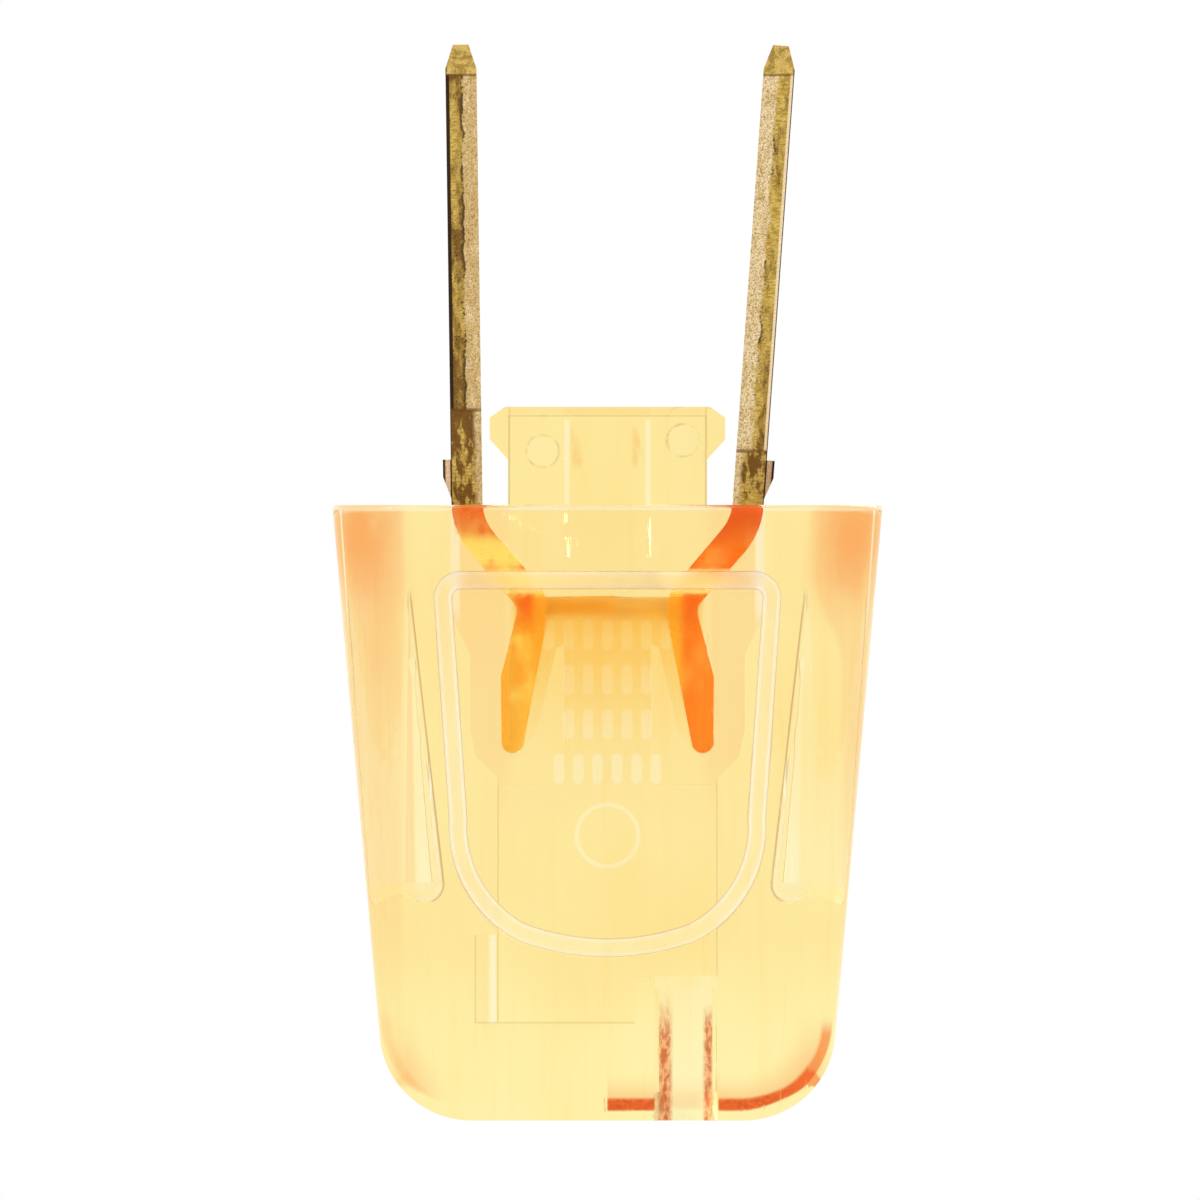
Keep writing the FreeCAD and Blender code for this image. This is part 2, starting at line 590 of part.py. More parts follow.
def build_blade(name, side, lean, prong_set):
    """One blade, bent from thick brass strip: prong, knee with its tooth, and arm. It is drawn
    in the insert's frame as it stands when pushed home, then leant out about its arm's end."""
    blade = doc.addObject("PartDesign::Body", name)
    half = "(size.blade_thickness / 2)"
    arm_half = "(size.arm_thickness / 2)"
    tip_half = "(size.tip_thickness / 2)"

    def prong(offset, height):
        """A point of the prong: offset across it from its centre, height above its bend."""
        x = f"size.blade_spacing / 2 + ({offset}) * cos({prong_set}) + ({height}) * sin({prong_set})"
        z = f"({height}) * cos({prong_set}) - ({offset}) * sin({prong_set}) - size.bend_drop"
        return (f"{side} * ({x})", z)

    def knee(offset):
        """The knee's corner on the bisector of its turn, offset to one side of the centre."""
        slope = f"atan((size.pivot_offset - {KNEE_OFFSET}) / (size.pivot_drop - size.knee_drop))"
        reach = f"({offset}) / cos((size.bend_angle * 1 deg + {slope}) / 2)"
        turn = f"((size.bend_angle * 1 deg - {slope}) / 2)"
        return (f"{side} * ({KNEE_OFFSET} + {reach} * cos({turn}))",
                f"-size.knee_drop - {reach} * sin({turn})")

    mitre = f"{half} * tan((size.bend_angle + {prong_set}) / 2)"
    length = "size.blade_reach + size.bend_drop"
    strip = attach(blade, f"{name}_outline", "XZ_Plane")
    draw_outline(strip, [
        prong(f"-{tip_half}", length),
        prong(f"-{half}", f"{length} - size.tip_bevel"),
        prong(f"-{half}", mitre),
        knee(f"-{half}"),
        (f"{side} * (size.pivot_offset - {arm_half})", "-size.pivot_drop", f"{ROUND_END} * {arm_half}", side),
        (f"{side} * (size.pivot_offset + {arm_half})", "-size.pivot_drop"),
        (f"{side} * (size.pivot_offset + {arm_half})", "-size.pivot_drop + size.arm_straight"),
        knee(half),
        prong(half, f"-{mitre}"),
        prong(half, f"{length} - size.tip_bevel"),
        prong(tip_half, length),
    ])
    pad(blade, f"{name}_strip", strip, "size.blade_width", both_ways=True)

    def at(point, y="0"):
        return Vector(number_of(point[0]), number_of(y), number_of(point[1]))

    dress(blade, "PartDesign::Chamfer", f"{name}_tip", [
        at(prong("0", length), "size.blade_width / 2"), at(prong("0", length), "-size.blade_width / 2"),
    ], "Size", "size.tip_bevel")
    dress(blade, "PartDesign::Fillet", f"{name}_bend_inside", [at(prong(f"-{half}", mitre))],
          "Radius", "size.bend_radius")
    dress(blade, "PartDesign::Fillet", f"{name}_bend_outside", [at(prong(half, f"-{mitre}"))],
          "Radius", "size.bend_radius + size.blade_thickness")
    dress(blade, "PartDesign::Fillet", f"{name}_knee_outside", [at(knee(half))],
          "Radius", "size.knee_round")
    dress(blade, "PartDesign::Fillet", f"{name}_knee_inside", [at(knee(f"-{half}"))],
          "Radius", "size.knee_round + size.blade_thickness")

    # A barb lanced out of the outer face bites the shell when the insert is home.
    barb = attach(blade, f"{name}_barb_outline", "XZ_Plane")
    barb_top = "size.bend_drop - size.barb_drop"
    barb_root = f"{half} - size.barb_root"
    draw_outline(barb, [
        prong(barb_root, barb_top),
        prong(barb_root, f"{barb_top} - size.barb_length"),
        prong(half, f"{barb_top} - size.barb_length"),
        prong(f"{half} + size.barb_rise", f"{barb_top} - size.barb_crest"),
        prong(f"{half} + size.barb_rise", barb_top),
    ])
    pad(blade, f"{name}_barb", barb, "size.barb_width", both_ways=True)

    # The pointed tooth at the knee goes through one conductor, to one side of the middle.
    tooth = attach(blade, f"{name}_tooth_outline", "XY_Plane", "-size.knee_drop - size.tooth_drop")
    base = f"{side} * ({KNEE_OFFSET} - size.tooth_root)"
    point = f"{side} * ({KNEE_OFFSET} - {half} - size.tooth_reach)"
    draw_outline(tooth, [
        (base, f"{side} * size.tooth_offset"),
        (base, f"{side} * (size.tooth_offset + size.tooth_width)"),
        (point, f"{side} * (size.tooth_offset + size.tooth_width / 2)"),
    ])
    pad(blade, f"{name}_tooth", tooth, "size.tooth_thickness")

    hole = attach(blade, f"{name}_hole_outline", "YZ_Plane")
    draw_circle(hole, "0", "size.blade_reach - size.hole_drop", "size.hole_width / 2")
    cut(blade, f"{name}_hole", hole, "2 * size.blade_spacing", both_ways=True)

    # Leaning out turns the whole blade about the middle of its arm's end.
    blade.Placement = Placement(Vector(), Rotation(Vector(0, side, 0), number_of(lean)))
    blade.setExpression(".Placement.Rotation.Angle", lean)
    blade.setExpression(".Placement.Base.x", f"{side} * (size.pivot_offset * (1 - cos({lean}))"
                        f" + size.pivot_drop * sin({lean}))")
    blade.setExpression(".Placement.Base.z", f"{TOP_AT_REST} + size.pivot_offset * sin({lean})"
                        f" - size.pivot_drop * (1 - cos({lean}))")
    return blade


blade_left = build_blade("blade_left", -1, "size.left_lean", "size.left_set")
blade_right = build_blade("blade_right", 1, "size.right_lean", "size.right_set")

doc.recompute()
failed = [thing.Name for thing in doc.Objects if {"Invalid", "Error"} & set(thing.State)]
for piece in (housing, insert, blade_left, blade_right):
    if piece.Shape.isNull() or not piece.Shape.isValid() or len(piece.Shape.Solids) != 1:
        failed.append(piece.Label)
if failed:
    raise SystemExit(f"not built: {failed}")

os.makedirs("parts", exist_ok=True)
for piece in (housing, insert, blade_left, blade_right):
    piece.Shape.exportStep(f"parts/{piece.Label}.step")
    print(f"{piece.Label}: {piece.Shape.Volume:.1f} cubic mm, {piece.Shape.BoundBox}")
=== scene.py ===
import math

import bpy
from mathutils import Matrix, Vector


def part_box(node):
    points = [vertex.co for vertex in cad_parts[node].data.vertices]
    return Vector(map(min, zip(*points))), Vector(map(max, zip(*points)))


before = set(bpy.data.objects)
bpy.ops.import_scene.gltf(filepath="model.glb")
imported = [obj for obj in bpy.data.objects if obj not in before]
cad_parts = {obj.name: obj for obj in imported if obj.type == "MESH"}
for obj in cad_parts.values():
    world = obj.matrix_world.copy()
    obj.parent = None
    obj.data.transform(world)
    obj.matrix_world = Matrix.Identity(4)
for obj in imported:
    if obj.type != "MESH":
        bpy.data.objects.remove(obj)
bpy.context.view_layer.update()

# View: the plug is seen square on from its front panel, level with the middle of its height,
# with the blade tips just inside the top of the frame. The lens is flat, with no perspective.
PIXELS_PER_METRE = 21600
FRAME_PIXELS = 1200
MIDDLE_PIXEL_X = 607.5
FOOT_PIXEL_Y = 1120.5
STAND_OFF = 0.4
camera_data = bpy.data.cameras.new("front_view")
camera_data.type = "ORTHO"
camera_data.ortho_scale = FRAME_PIXELS / PIXELS_PER_METRE
camera = bpy.data.objects.new("front_view", camera_data)
camera.location = (
    (FRAME_PIXELS / 2 - MIDDLE_PIXEL_X) / PIXELS_PER_METRE,
    -STAND_OFF,
    (FOOT_PIXEL_Y - FRAME_PIXELS / 2) / PIXELS_PER_METRE,
)
camera.rotation_euler = (math.radians(90), 0, 0)
bpy.context.collection.objects.link(camera)
bpy.context.scene.camera = camera
bpy.context.scene.view_settings.view_transform = "Standard"

# Studio: a white sweep of daylight all round, which shows white to the lens, to gloss and
# through the clear plastic, and lights everything else at a plain level.
WHITE = (1.0, 1.0, 1.0)
ROOM_LIGHT = 0.65
SHOWN_LIGHT = 1.0
LAMP_AIM = (0, 0, 0.02)
LAMP_WIDTH = 0.25


def add_node(tree, kind, inputs=(), **settings):
    """Add one node with its properties, and give each listed input a value or a link."""
    node = tree.nodes.new(kind)
    for name, value in settings.items():
        setattr(node, name, value)
    for name, value in dict(inputs).items():
        if isinstance(value, Field):
            value = value.output
        if isinstance(value, bpy.types.NodeSocket):
            tree.links.new(value, node.inputs[name])
        else:
            node.inputs[name].default_value = value
    return node


class Field:
    """A value that changes over a surface: one output of a node. Each sum adds a Math node."""

    def __init__(self, tree, output):
        self.tree, self.output = tree, output

    def sum(self, operation, *others):
        node = add_node(self.tree, "ShaderNodeMath", enumerate((self, *others)), operation=operation)
        return Field(self.tree, node.outputs[0])

    def __add__(self, other):
        return self.sum("ADD", other)

    def __sub__(self, other):
        return self.sum("SUBTRACT", other)

    def __rsub__(self, other):
        return self * -1.0 + other

    def __mul__(self, other):
        return self.sum("MULTIPLY", other)

    def __truediv__(self, other):
        return self.sum("DIVIDE", other)

    def __abs__(self):
        return self.sum("ABSOLUTE")

    def into(self, socket):
        """Wire the field to a node's input."""
        self.tree.links.new(self.output, socket)


def largest(first, *others):
    """The largest of some fields and numbers, of which the first is a field."""
    for other in others:
        first = first.sum("MAXIMUM", other)
    return first


world = bpy.data.worlds.new("studio")
bpy.context.scene.world = world
world.use_nodes = True
sky = world.node_tree
sky.nodes.clear()
rays = add_node(sky, "ShaderNodeLightPath").outputs
shown = largest(*(Field(sky, rays[f"Is {kind} Ray"]) for kind in ("Camera", "Glossy", "Transmission")))
daylight = add_node(sky, "ShaderNodeBackground", {
    "Color": (*WHITE, 1), "Strength": shown * (SHOWN_LIGHT - ROOM_LIGHT) + ROOM_LIGHT})
add_node(sky, "ShaderNodeOutputWorld", {"Surface": daylight.outputs["Background"]})


def soft_lamp(name, place, watts):
    """A square soft box that faces the plug."""
    lamp_data = bpy.data.lights.new(name, "AREA")
    lamp_data.energy = watts
    lamp_data.size = LAMP_WIDTH
    lamp = bpy.data.objects.new(name, lamp_data)
    lamp.location = place
    lamp.rotation_euler = (Vector(LAMP_AIM) - Vector(place)).to_track_quat("-Z", "Y").to_euler()
    bpy.context.collection.objects.link(lamp)


soft_lamp("key_lamp", place=(-0.25, -0.35, 0.35), watts=1.6)
soft_lamp("back_lamp", place=(0.2, 0.35, 0.3), watts=1.2)

# Floor: a plain white table, wide enough for every view, that turns into the white sweep behind.
# Seen through the clear plastic it is as bright as the room, because the plastic gathers light.
HALF_TABLE = 1.5
TABLE_PAINT = (0.86, 0.86, 0.86)
TABLE_ROUGHNESS = 0.7
SWEEP_FROM = 0.1
SWEEP_TO = 0.3


def fade(value, start, end):
    """0 where value is at start and 1 where it is at end, eased between them."""
    low, high = min(start, end), max(start, end)
    at_low, at_high = (0.0, 1.0) if start < end else (1.0, 0.0)
    node = add_node(value.tree, "ShaderNodeMapRange", interpolation_type="SMOOTHSTEP", inputs={
        "Value": value, "From Min": low, "From Max": high, "To Min": at_low, "To Max": at_high})
    return Field(value.tree, node.outputs["Result"])


floor_mesh = bpy.data.meshes.new("table")
floor_mesh.from_pydata(
    [(-HALF_TABLE, -HALF_TABLE, 0), (HALF_TABLE, -HALF_TABLE, 0), (HALF_TABLE, HALF_TABLE, 0),
     (-HALF_TABLE, HALF_TABLE, 0)], [], [(0, 1, 2, 3)])
table = bpy.data.objects.new("table", floor_mesh)
bpy.context.collection.objects.link(table)
table_paint = bpy.data.materials.new("white_table")
table_paint.use_nodes = True
paint = table_paint.node_tree
coat = paint.nodes["Principled BSDF"]
coat.inputs["Base Color"].default_value = (*TABLE_PAINT, 1)
coat.inputs["Roughness"].default_value = TABLE_ROUGHNESS
through_plastic = add_node(paint, "ShaderNodeLightPath").outputs["Is Transmission Ray"]
table_place = add_node(paint, "ShaderNodeTexCoord").outputs["Object"]
from_plug = add_node(paint, "ShaderNodeVectorMath", {0: table_place}, operation="LENGTH").outputs["Value"]
bright = largest(fade(Field(paint, from_plug), SWEEP_FROM, SWEEP_TO), through_plastic)
sweep = add_node(paint, "ShaderNodeEmission", {"Color": (*WHITE, 1), "Strength": SHOWN_LIGHT})
table_look = add_node(paint, "ShaderNodeMixShader", {0: bright, 1: coat.outputs[0], 2: sweep.outputs[0]})
paint.links.new(table_look.outputs[0], paint.nodes["Material Output"].inputs["Surface"])
floor_mesh.materials.append(table_paint)

# Shell: one injection moulding of clear amber plastic. It is a plain yellow through its flat
# faces. The peach and orange at its corners and the paler tone on its bevels are painted light, for the
# way they bend the light.
MILLIMETRES = 1000.0
MIX_SHARE = 0
MIX_FIRST = 6
MIX_SECOND = 7
MIX_RESULT = 2


def mixed(share, first, second, how="MIX"):
    """Two colours, as fields or as red, green and blue, mixed by a share."""
    tree = next(part.tree for part in (share, first, second) if isinstance(part, Field))
    ends = {MIX_FIRST: first, MIX_SECOND: second}
    colours = {end: part if isinstance(part, Field) else (*part, 1) for end, part in ends.items()}
    node = add_node(tree, "ShaderNodeMix", {MIX_SHARE: share, **colours}, data_type="RGBA", blend_type=how)
    return Field(tree, node.outputs[MIX_RESULT])


def in_millimetres(tree):
    """The place on the piece as it lies at rest, in millimetres."""
    surface = add_node(tree, "ShaderNodeTexCoord")
    scaled = add_node(tree, "ShaderNodeVectorMath", operation="SCALE", inputs={
        0: surface.outputs["Object"], "Scale": MILLIMETRES})
    return Field(tree, scaled.outputs[0])


def own_normal(tree):
    """The direction that the surface faces, as the piece lies at rest."""
    return Field(tree, add_node(tree, "ShaderNodeTexCoord").outputs["Normal"])


def split(vector):
    """The x, y and z of a vector."""
    parts = add_node(vector.tree, "ShaderNodeSeparateXYZ", {0: vector})
    return [Field(vector.tree, part) for part in parts.outputs]


def speckle(spot, grains, detail=2.0, roughness=0.5, seed=0.0):
    """Noise from 0 to 1, with so many grains to the millimetre along x, y and z."""
    scaled = add_node(spot.tree, "ShaderNodeVectorMath", {0: spot, 1: grains}, operation="MULTIPLY")
    node = add_node(spot.tree, "ShaderNodeTexNoise", noise_dimensions="4D", inputs={
        "Vector": scaled.outputs[0], "W": seed, "Scale": 1.0, "Detail": detail, "Roughness": roughness})
    return Field(spot.tree, node.outputs["Fac"])


def shader_group(name, inputs, outputs):
    """An empty node group with its sockets, and the ends to wire. Inputs are name: value."""
    group = bpy.data.node_groups.new(name, "ShaderNodeTree")
    for label, value in inputs.items():
        kind = "NodeSocketColor" if isinstance(value, tuple) else "NodeSocketFloat"
        group.interface.new_socket(label, in_out="INPUT", socket_type=kind).default_value = value
    for label, kind in outputs.items():
        group.interface.new_socket(label, in_out="OUTPUT", socket_type=kind)
    starts = group.nodes.new("NodeGroupInput").outputs
    given = {label: Field(group, starts[label]) for label in inputs}
    return group, given, group.nodes.new("NodeGroupOutput").inputs


# Moulded colour: the tone drifts a little over the piece, with faint streaks along the flow.
TONE_DRIFT = dict(grains=(0.16, 0.16, 0.1), detail=3)
DRIFT_RANGE = (0.4, 0.75)
FLOW_STREAKS = dict(grains=(2.2, 2.2, 0.07), detail=3, roughness=0.6, seed=4.0)
STREAK_RANGE = (0.5, 0.8)
moulded_tone, given, put_out = shader_group(
    "moulded_tone",
    {"Tone": (*WHITE, 1), "Streak Tone": (*WHITE, 1), "Drift": 0.3, "Streaks": 0.3},
    {"Color": "NodeSocketColor"})
spot = in_millimetres(moulded_tone)
drift = fade(speckle(spot, **TONE_DRIFT), *DRIFT_RANGE) * given["Drift"]
streak = fade(speckle(spot, **FLOW_STREAKS), *STREAK_RANGE) * given["Streaks"]
drifting = mixed(drift, WHITE, given["Streak Tone"])
streaked = mixed(streak, drifting, given["Streak Tone"], "MULTIPLY")
mixed(1.0, given["Tone"], streaked, "MULTIPLY").into(put_out["Color"])

# Moulded skin: slow ripples where the plastic shrank, fine scuffs from handling, and a haze on
# the places that the mould left rough.
SHRINK_RIPPLE = dict(grains=(0.35, 0.35, 0.25), detail=1)
HANDLING_SCUFF = dict(grains=(9.0, 9.0, 0.8), detail=2, roughness=0.6, seed=2.0)
SCUFF_RANGE = (0.62, 0.75)
RIPPLE_DEPTH = 0.0002
SCUFF_DEPTH = 0.00002
MOULDED_ROUGHNESS = 0.03
SCUFFED_ROUGHNESS = 0.3
moulded_skin, given, put_out = shader_group(
    "moulded_skin",
    {"Ripple": 0.3, "Scuffs": 0.3, "Haze": 0.0},
    {"Normal": "NodeSocketVector", "Roughness": "NodeSocketFloat"})
spot = in_millimetres(moulded_skin)
ripple = speckle(spot, **SHRINK_RIPPLE)
scratch = fade(speckle(spot, **HANDLING_SCUFF), *SCUFF_RANGE)
rippled = add_node(moulded_skin, "ShaderNodeBump", {
    "Strength": given["Ripple"], "Distance": RIPPLE_DEPTH, "Height": ripple})
scuffed = add_node(moulded_skin, "ShaderNodeBump", {
    "Strength": given["Scuffs"], "Distance": SCUFF_DEPTH, "Height": scratch,
    "Normal": rippled.outputs["Normal"]})
moulded_skin.links.new(scuffed.outputs["Normal"], put_out["Normal"])
worn = scratch * given["Scuffs"] * (SCUFFED_ROUGHNESS - MOULDED_ROUGHNESS) + MOULDED_ROUGHNESS
(worn + given["Haze"]).into(put_out["Roughness"])

# Clear plastic: the first two surfaces that a view passes through carry the whole tone, and
# those behind them almost none. Light runs down inside the walls by many reflections.
TONED_SURFACES = 1.5
DEEP_TONE = (1.0, 0.997, 0.98)
WALL_REFLECTIONS = 12
bpy.context.scene.cycles.glossy_bounces = WALL_REFLECTIONS


def clear_plastic(name, bending, streak_tone, drift, streaks, ripple, scuffs):
    """A clear moulding that bends light by the index given, with the sockets for its tone on the
    first two surfaces of a view, its deep tone behind them, and its haze."""
    material = bpy.data.materials.new(name)
    material.use_nodes = True
    tree = material.node_tree
    shader = tree.nodes["Principled BSDF"]
    shader.inputs["IOR"].default_value = bending
    shader.inputs["Transmission Weight"].default_value = 1
    tone = add_node(tree, "ShaderNodeGroup", node_tree=moulded_tone, inputs={
        "Streak Tone": (*streak_tone, 1), "Drift": drift, "Streaks": streaks})
    skin = add_node(tree, "ShaderNodeGroup", node_tree=moulded_skin, inputs={
        "Ripple": ripple, "Scuffs": scuffs})
    depth = Field(tree, add_node(tree, "ShaderNodeLightPath").outputs["Transmission Depth"])
    by_depth = mixed(depth.sum("LESS_THAN", TONED_SURFACES), DEEP_TONE, Field(tree, tone.outputs["Color"]))
    by_depth.into(shader.inputs["Base Color"])
    tree.links.new(skin.outputs["Normal"], shader.inputs["Normal"])
    tree.links.new(skin.outputs["Roughness"], shader.inputs["Roughness"])
    deep = by_depth.output.node.inputs[MIX_FIRST]
    return material, {"tone": tone.inputs["Tone"], "deep": deep, "haze": skin.inputs["Haze"]}


def finish_node(name, material):
    """Give a node of the frame its finish."""
    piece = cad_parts[name]
    piece.data.materials.clear()
    piece.data.materials.append(material)


# The shell's tones, then its sizes in millimetres. A pair of numbers is where an effect starts
# and where it is whole.
AMBER = (0.99, 0.815, 0.345)
FOOT_AMBER = (1.0, 0.895, 0.42)
PALE_AMBER = (1.0, 0.94, 0.68)
PEACH = (0.965, 0.62, 0.25)
ORANGE = (0.96, 0.34, 0.075)
RED_ORANGE = (0.90, 0.13, 0.012)
RED_BROWN = (0.42, 0.035, 0.004)
LINE_BROWN = (0.62, 0.38, 0.14)
FOOT_HALF = 10.2  # half the shell's width at its foot
FOOT_ROUND = 4.25  # radius of the foot's rounded edge
FACE_FOOT = 5.7  # half the shell's depth at its foot
FACE_LEAN = 0.7 / 28.5  # how far the front leans out, over the shell's height
_, shell_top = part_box("housing")
mouth_half, shell_height = shell_top[0] * MILLIMETRES, shell_top[2] * MILLIMETRES
shell_plastic, sockets = clear_plastic(
    "shell_plastic", bending=1.2, streak_tone=(1.0, 0.86, 0.66), drift=0.5, streaks=0.45,
    ripple=0.25, scuffs=0.3)
tree = shell_plastic.node_tree
spot = in_millimetres(tree)
x, y, z = split(spot)
beside, behind = abs(x), abs(y)
_, facing_y, facing_z = split(own_normal(tree))
outward, upward = abs(facing_y), abs(facing_z)
inward = z * ((mouth_half - FOOT_HALF) / shell_height) + FOOT_HALF - beside

# The corners carry painted peach shading in soft streaks down the side, and painted orange shading
# at the top, for the light that the corners bend. On the right the peach is narrower, outside the grip.
NEAR_FACES = (1.0, 4.0)
FOOT_HEIGHTS = (9.0, 2.5)
PEACH_FROM = 9.25  # from the middle
PEACH_SOFT = 0.45
RIGHT_SHIFT = 1.4  # further out beside the grip
RIGHT_HALF = (0.0, 1.0)
RIGHT_HEIGHTS = (25.5, 21.0)
PEACH_HEIGHTS = (1.5, 16.0)
PEACH_LEAST = 0.5
PEACH_IN_STREAKS = 0.55
SIDE_SHADING_STREAKS = dict(grains=(2.2, 2.2, 0.09), detail=4, roughness=0.65, seed=9.0)
SHADING_STREAK_RANGE = (0.25, 0.6)
CORNER_PATCHES = dict(grains=(0.5, 0.5, 0.3), detail=3, roughness=0.55, seed=7.0)
PATCH_RANGE = (0.2, 0.55)
CORNER_IN = (3.9, 1.3)
CORNER_HEIGHTS = (shell_height - 6.5, shell_height - 1.2)
near_faces = fade(behind, *NEAR_FACES)
peach_edge = fade(x, *RIGHT_HALF) * fade(z, *RIGHT_HEIGHTS) * RIGHT_SHIFT + PEACH_FROM
painted_side_shading = fade(beside - peach_edge, 0.0, PEACH_SOFT) * near_faces
shading_streaks = fade(speckle(spot, **SIDE_SHADING_STREAKS), *SHADING_STREAK_RANGE) * PEACH_IN_STREAKS + PEACH_LEAST
patches = fade(speckle(spot, **CORNER_PATCHES), *PATCH_RANGE)
colour = mixed(fade(z, *FOOT_HEIGHTS), AMBER, FOOT_AMBER)
colour = mixed(painted_side_shading * shading_streaks * fade(z, *PEACH_HEIGHTS), colour, PEACH)
painted_corner_shading = fade(inward, *CORNER_IN) * near_faces * fade(z, *CORNER_HEIGHTS) * patches
colour = mixed(painted_corner_shading, colour, ORANGE)

# The foot: a painted red-brown arc of shade inside its rounded edge, where the foot bends the view
# down to the shaded table under it, on the side of the cord slot, with a painted soft orange glow inside
# it, and a faint one of each at the far corner. The arc is cut by the slot.
SLOT_LEFT = 2.14
SLOT_RIGHT = 5.1
SLOT_DEPTH = 2.9
SLOT_TOP = 6.8
SLOT_SIDE_FROM = (-0.05, 0.05)
FAR_CORNER = (-7.0, -9.3)
SLOT_GAP = 0.1
FOOT_SINK = 0.3  # the arc's own radius is smaller low down
FOOT_SINK_HEIGHTS = (1.8, 0.6)
GLOW_STARTS = (0.1, 0.4)
GLOW_ENDS = (2.4, 0.5)
GLOW_HEIGHTS = (5.5, 2.5)
SLOT_GLOW = 0.46
FAR_GLOW = 0.34
ARC_STARTS = (0.14, 0.24)
ARC_ENDS = (0.95, 0.7)
ARC_HEIGHTS = (4.9, 3.9)
ARC_SHARE = 0.94
ARC_TAPER = 0.15  # thinner at its upper end
ARC_TAPER_HEIGHTS = (0.8, 3.5)
FAR_STARTS = (0.05, 0.2)
FAR_ENDS = (0.75, 0.4)
FAR_SHARE = 0.35
FAR_TOP_HEIGHTS = (5.6, 4.4)
FAR_FOOT_HEIGHTS = (0.9, 2.0)
ARC_SHADE_MOTTLE = dict(grains=(3.0, 3.0, 4.5), detail=4, roughness=0.75, seed=3.0)
ARC_MOTTLE_RANGE = (0.38, 0.62)
ARC_MOTTLE_SHARE = 0.5
ARC_MOTTLE_BESIDE = (9.5, 7.2)
past_flat, below_round = largest(FOOT_ROUND - inward, 0.0), largest(FOOT_ROUND - z, 0.0)
from_centre = (past_flat * past_flat + below_round * below_round).sum("SQRT")
from_edge = FOOT_ROUND - fade(z, *FOOT_SINK_HEIGHTS) * FOOT_SINK - from_centre
slot_side, far_corner = fade(x, *SLOT_SIDE_FROM), fade(x, *FAR_CORNER)
clear_of_slot = largest(fade(x, SLOT_LEFT + SLOT_GAP, SLOT_LEFT),
                        fade(x, SLOT_RIGHT, SLOT_RIGHT + SLOT_GAP))
glow = fade(from_edge, *GLOW_STARTS) * fade(from_edge, *GLOW_ENDS) * fade(z, *GLOW_HEIGHTS)
colour = mixed(glow * (far_corner * FAR_GLOW + slot_side * SLOT_GLOW), colour, ORANGE)
arc_inside = fade(z, *ARC_TAPER_HEIGHTS) * ARC_TAPER + from_edge
arc = fade(from_edge, *ARC_STARTS) * fade(arc_inside, *ARC_ENDS) * fade(z, *ARC_HEIGHTS)
arc = arc * slot_side * clear_of_slot
colour = mixed(arc * ARC_SHARE, colour, RED_ORANGE)
far_arc = fade(from_edge, *FAR_STARTS) * fade(from_edge, *FAR_ENDS) * far_corner
far_arc = far_arc * fade(z, *FAR_TOP_HEIGHTS) * fade(z, *FAR_FOOT_HEIGHTS)
colour = mixed(far_arc * FAR_SHARE, colour, ORANGE)
# The painted shade in the arc is mottled darker in places.
mottled_arc_shade = fade(speckle(spot, **ARC_SHADE_MOTTLE), *ARC_MOTTLE_RANGE) * ARC_MOTTLE_SHARE
colour = mixed(arc * mottled_arc_shade * fade(beside, *ARC_MOTTLE_BESIDE), colour, RED_BROWN)

# The panel's bevels are hazy and painted pale, for the light that they bend, with a painted brown shade
# line and a painted white highlight line along the top and the foot of each slope. The bars and the ring
# are pale too, and the broken edge of the mouth carries a painted pale highlight.
PANEL_SINK = 0.5
PANEL_HALF = 8.4
PANEL_BESIDE = (PANEL_HALF + 0.5, PANEL_HALF + 0.4)
PANEL_DEEP = (0.6, 0.55)
BEVEL_FACING = 0.866  # the slopes lean 30 degrees
BEVEL_SPREAD = 0.05
FLAT_FACING = 0.95
SIDE_BEVEL = (0.995, 0.86, 0.46)
LEVEL_BEVEL = (1.0, 0.94, 0.62)
BEVEL_TURN = (0.2, 0.42)
WHITE_OUTER = (0.13, 0.09)
WHITE_INNER = (0.37, 0.41)
WHITE_SHARE = 0.9
BROWN_OUTER = (0.035, 0.015)
BROWN_INNER = (0.46, 0.48)
BROWN_SHARE = 0.75
RAISED_FROM = (PANEL_SINK - 0.03, PANEL_SINK - 0.1)
RAISED_BELOW = (0.2, 0.3)
RAISED_SHARE = 0.9
MOUTH_EDGE_HEIGHTS = (shell_height - 0.3, shell_height - 0.15)
sunk = z * FACE_LEAN + FACE_FOOT - behind
in_panel = fade(beside, *PANEL_BESIDE) * fade(sunk, *PANEL_DEEP)
bevel = abs(outward - BEVEL_FACING).sum("LESS_THAN", BEVEL_SPREAD) * in_panel
bevel_highlight_lines = largest(fade(sunk, *WHITE_OUTER), fade(sunk, *WHITE_INNER))
bevel_shade_lines = largest(fade(sunk, *BROWN_OUTER), fade(sunk, *BROWN_INNER))
slope = mixed(fade(upward, *BEVEL_TURN), SIDE_BEVEL, LEVEL_BEVEL)
slope = mixed(bevel_highlight_lines * WHITE_SHARE, slope, WHITE)
slope = mixed(bevel_shade_lines * BROWN_SHARE, slope, LINE_BROWN)
colour = mixed(bevel, colour, slope)
raised = fade(sunk, *RAISED_FROM) * fade(sunk, *RAISED_BELOW) * outward.sum("GREATER_THAN", FLAT_FACING)
colour = mixed(raised * in_panel * RAISED_SHARE, colour, PALE_AMBER)
# Painted pale highlight along the mouth's broken top edge.
colour = mixed(fade(z, *MOUTH_EDGE_HEIGHTS), colour, PALE_AMBER)

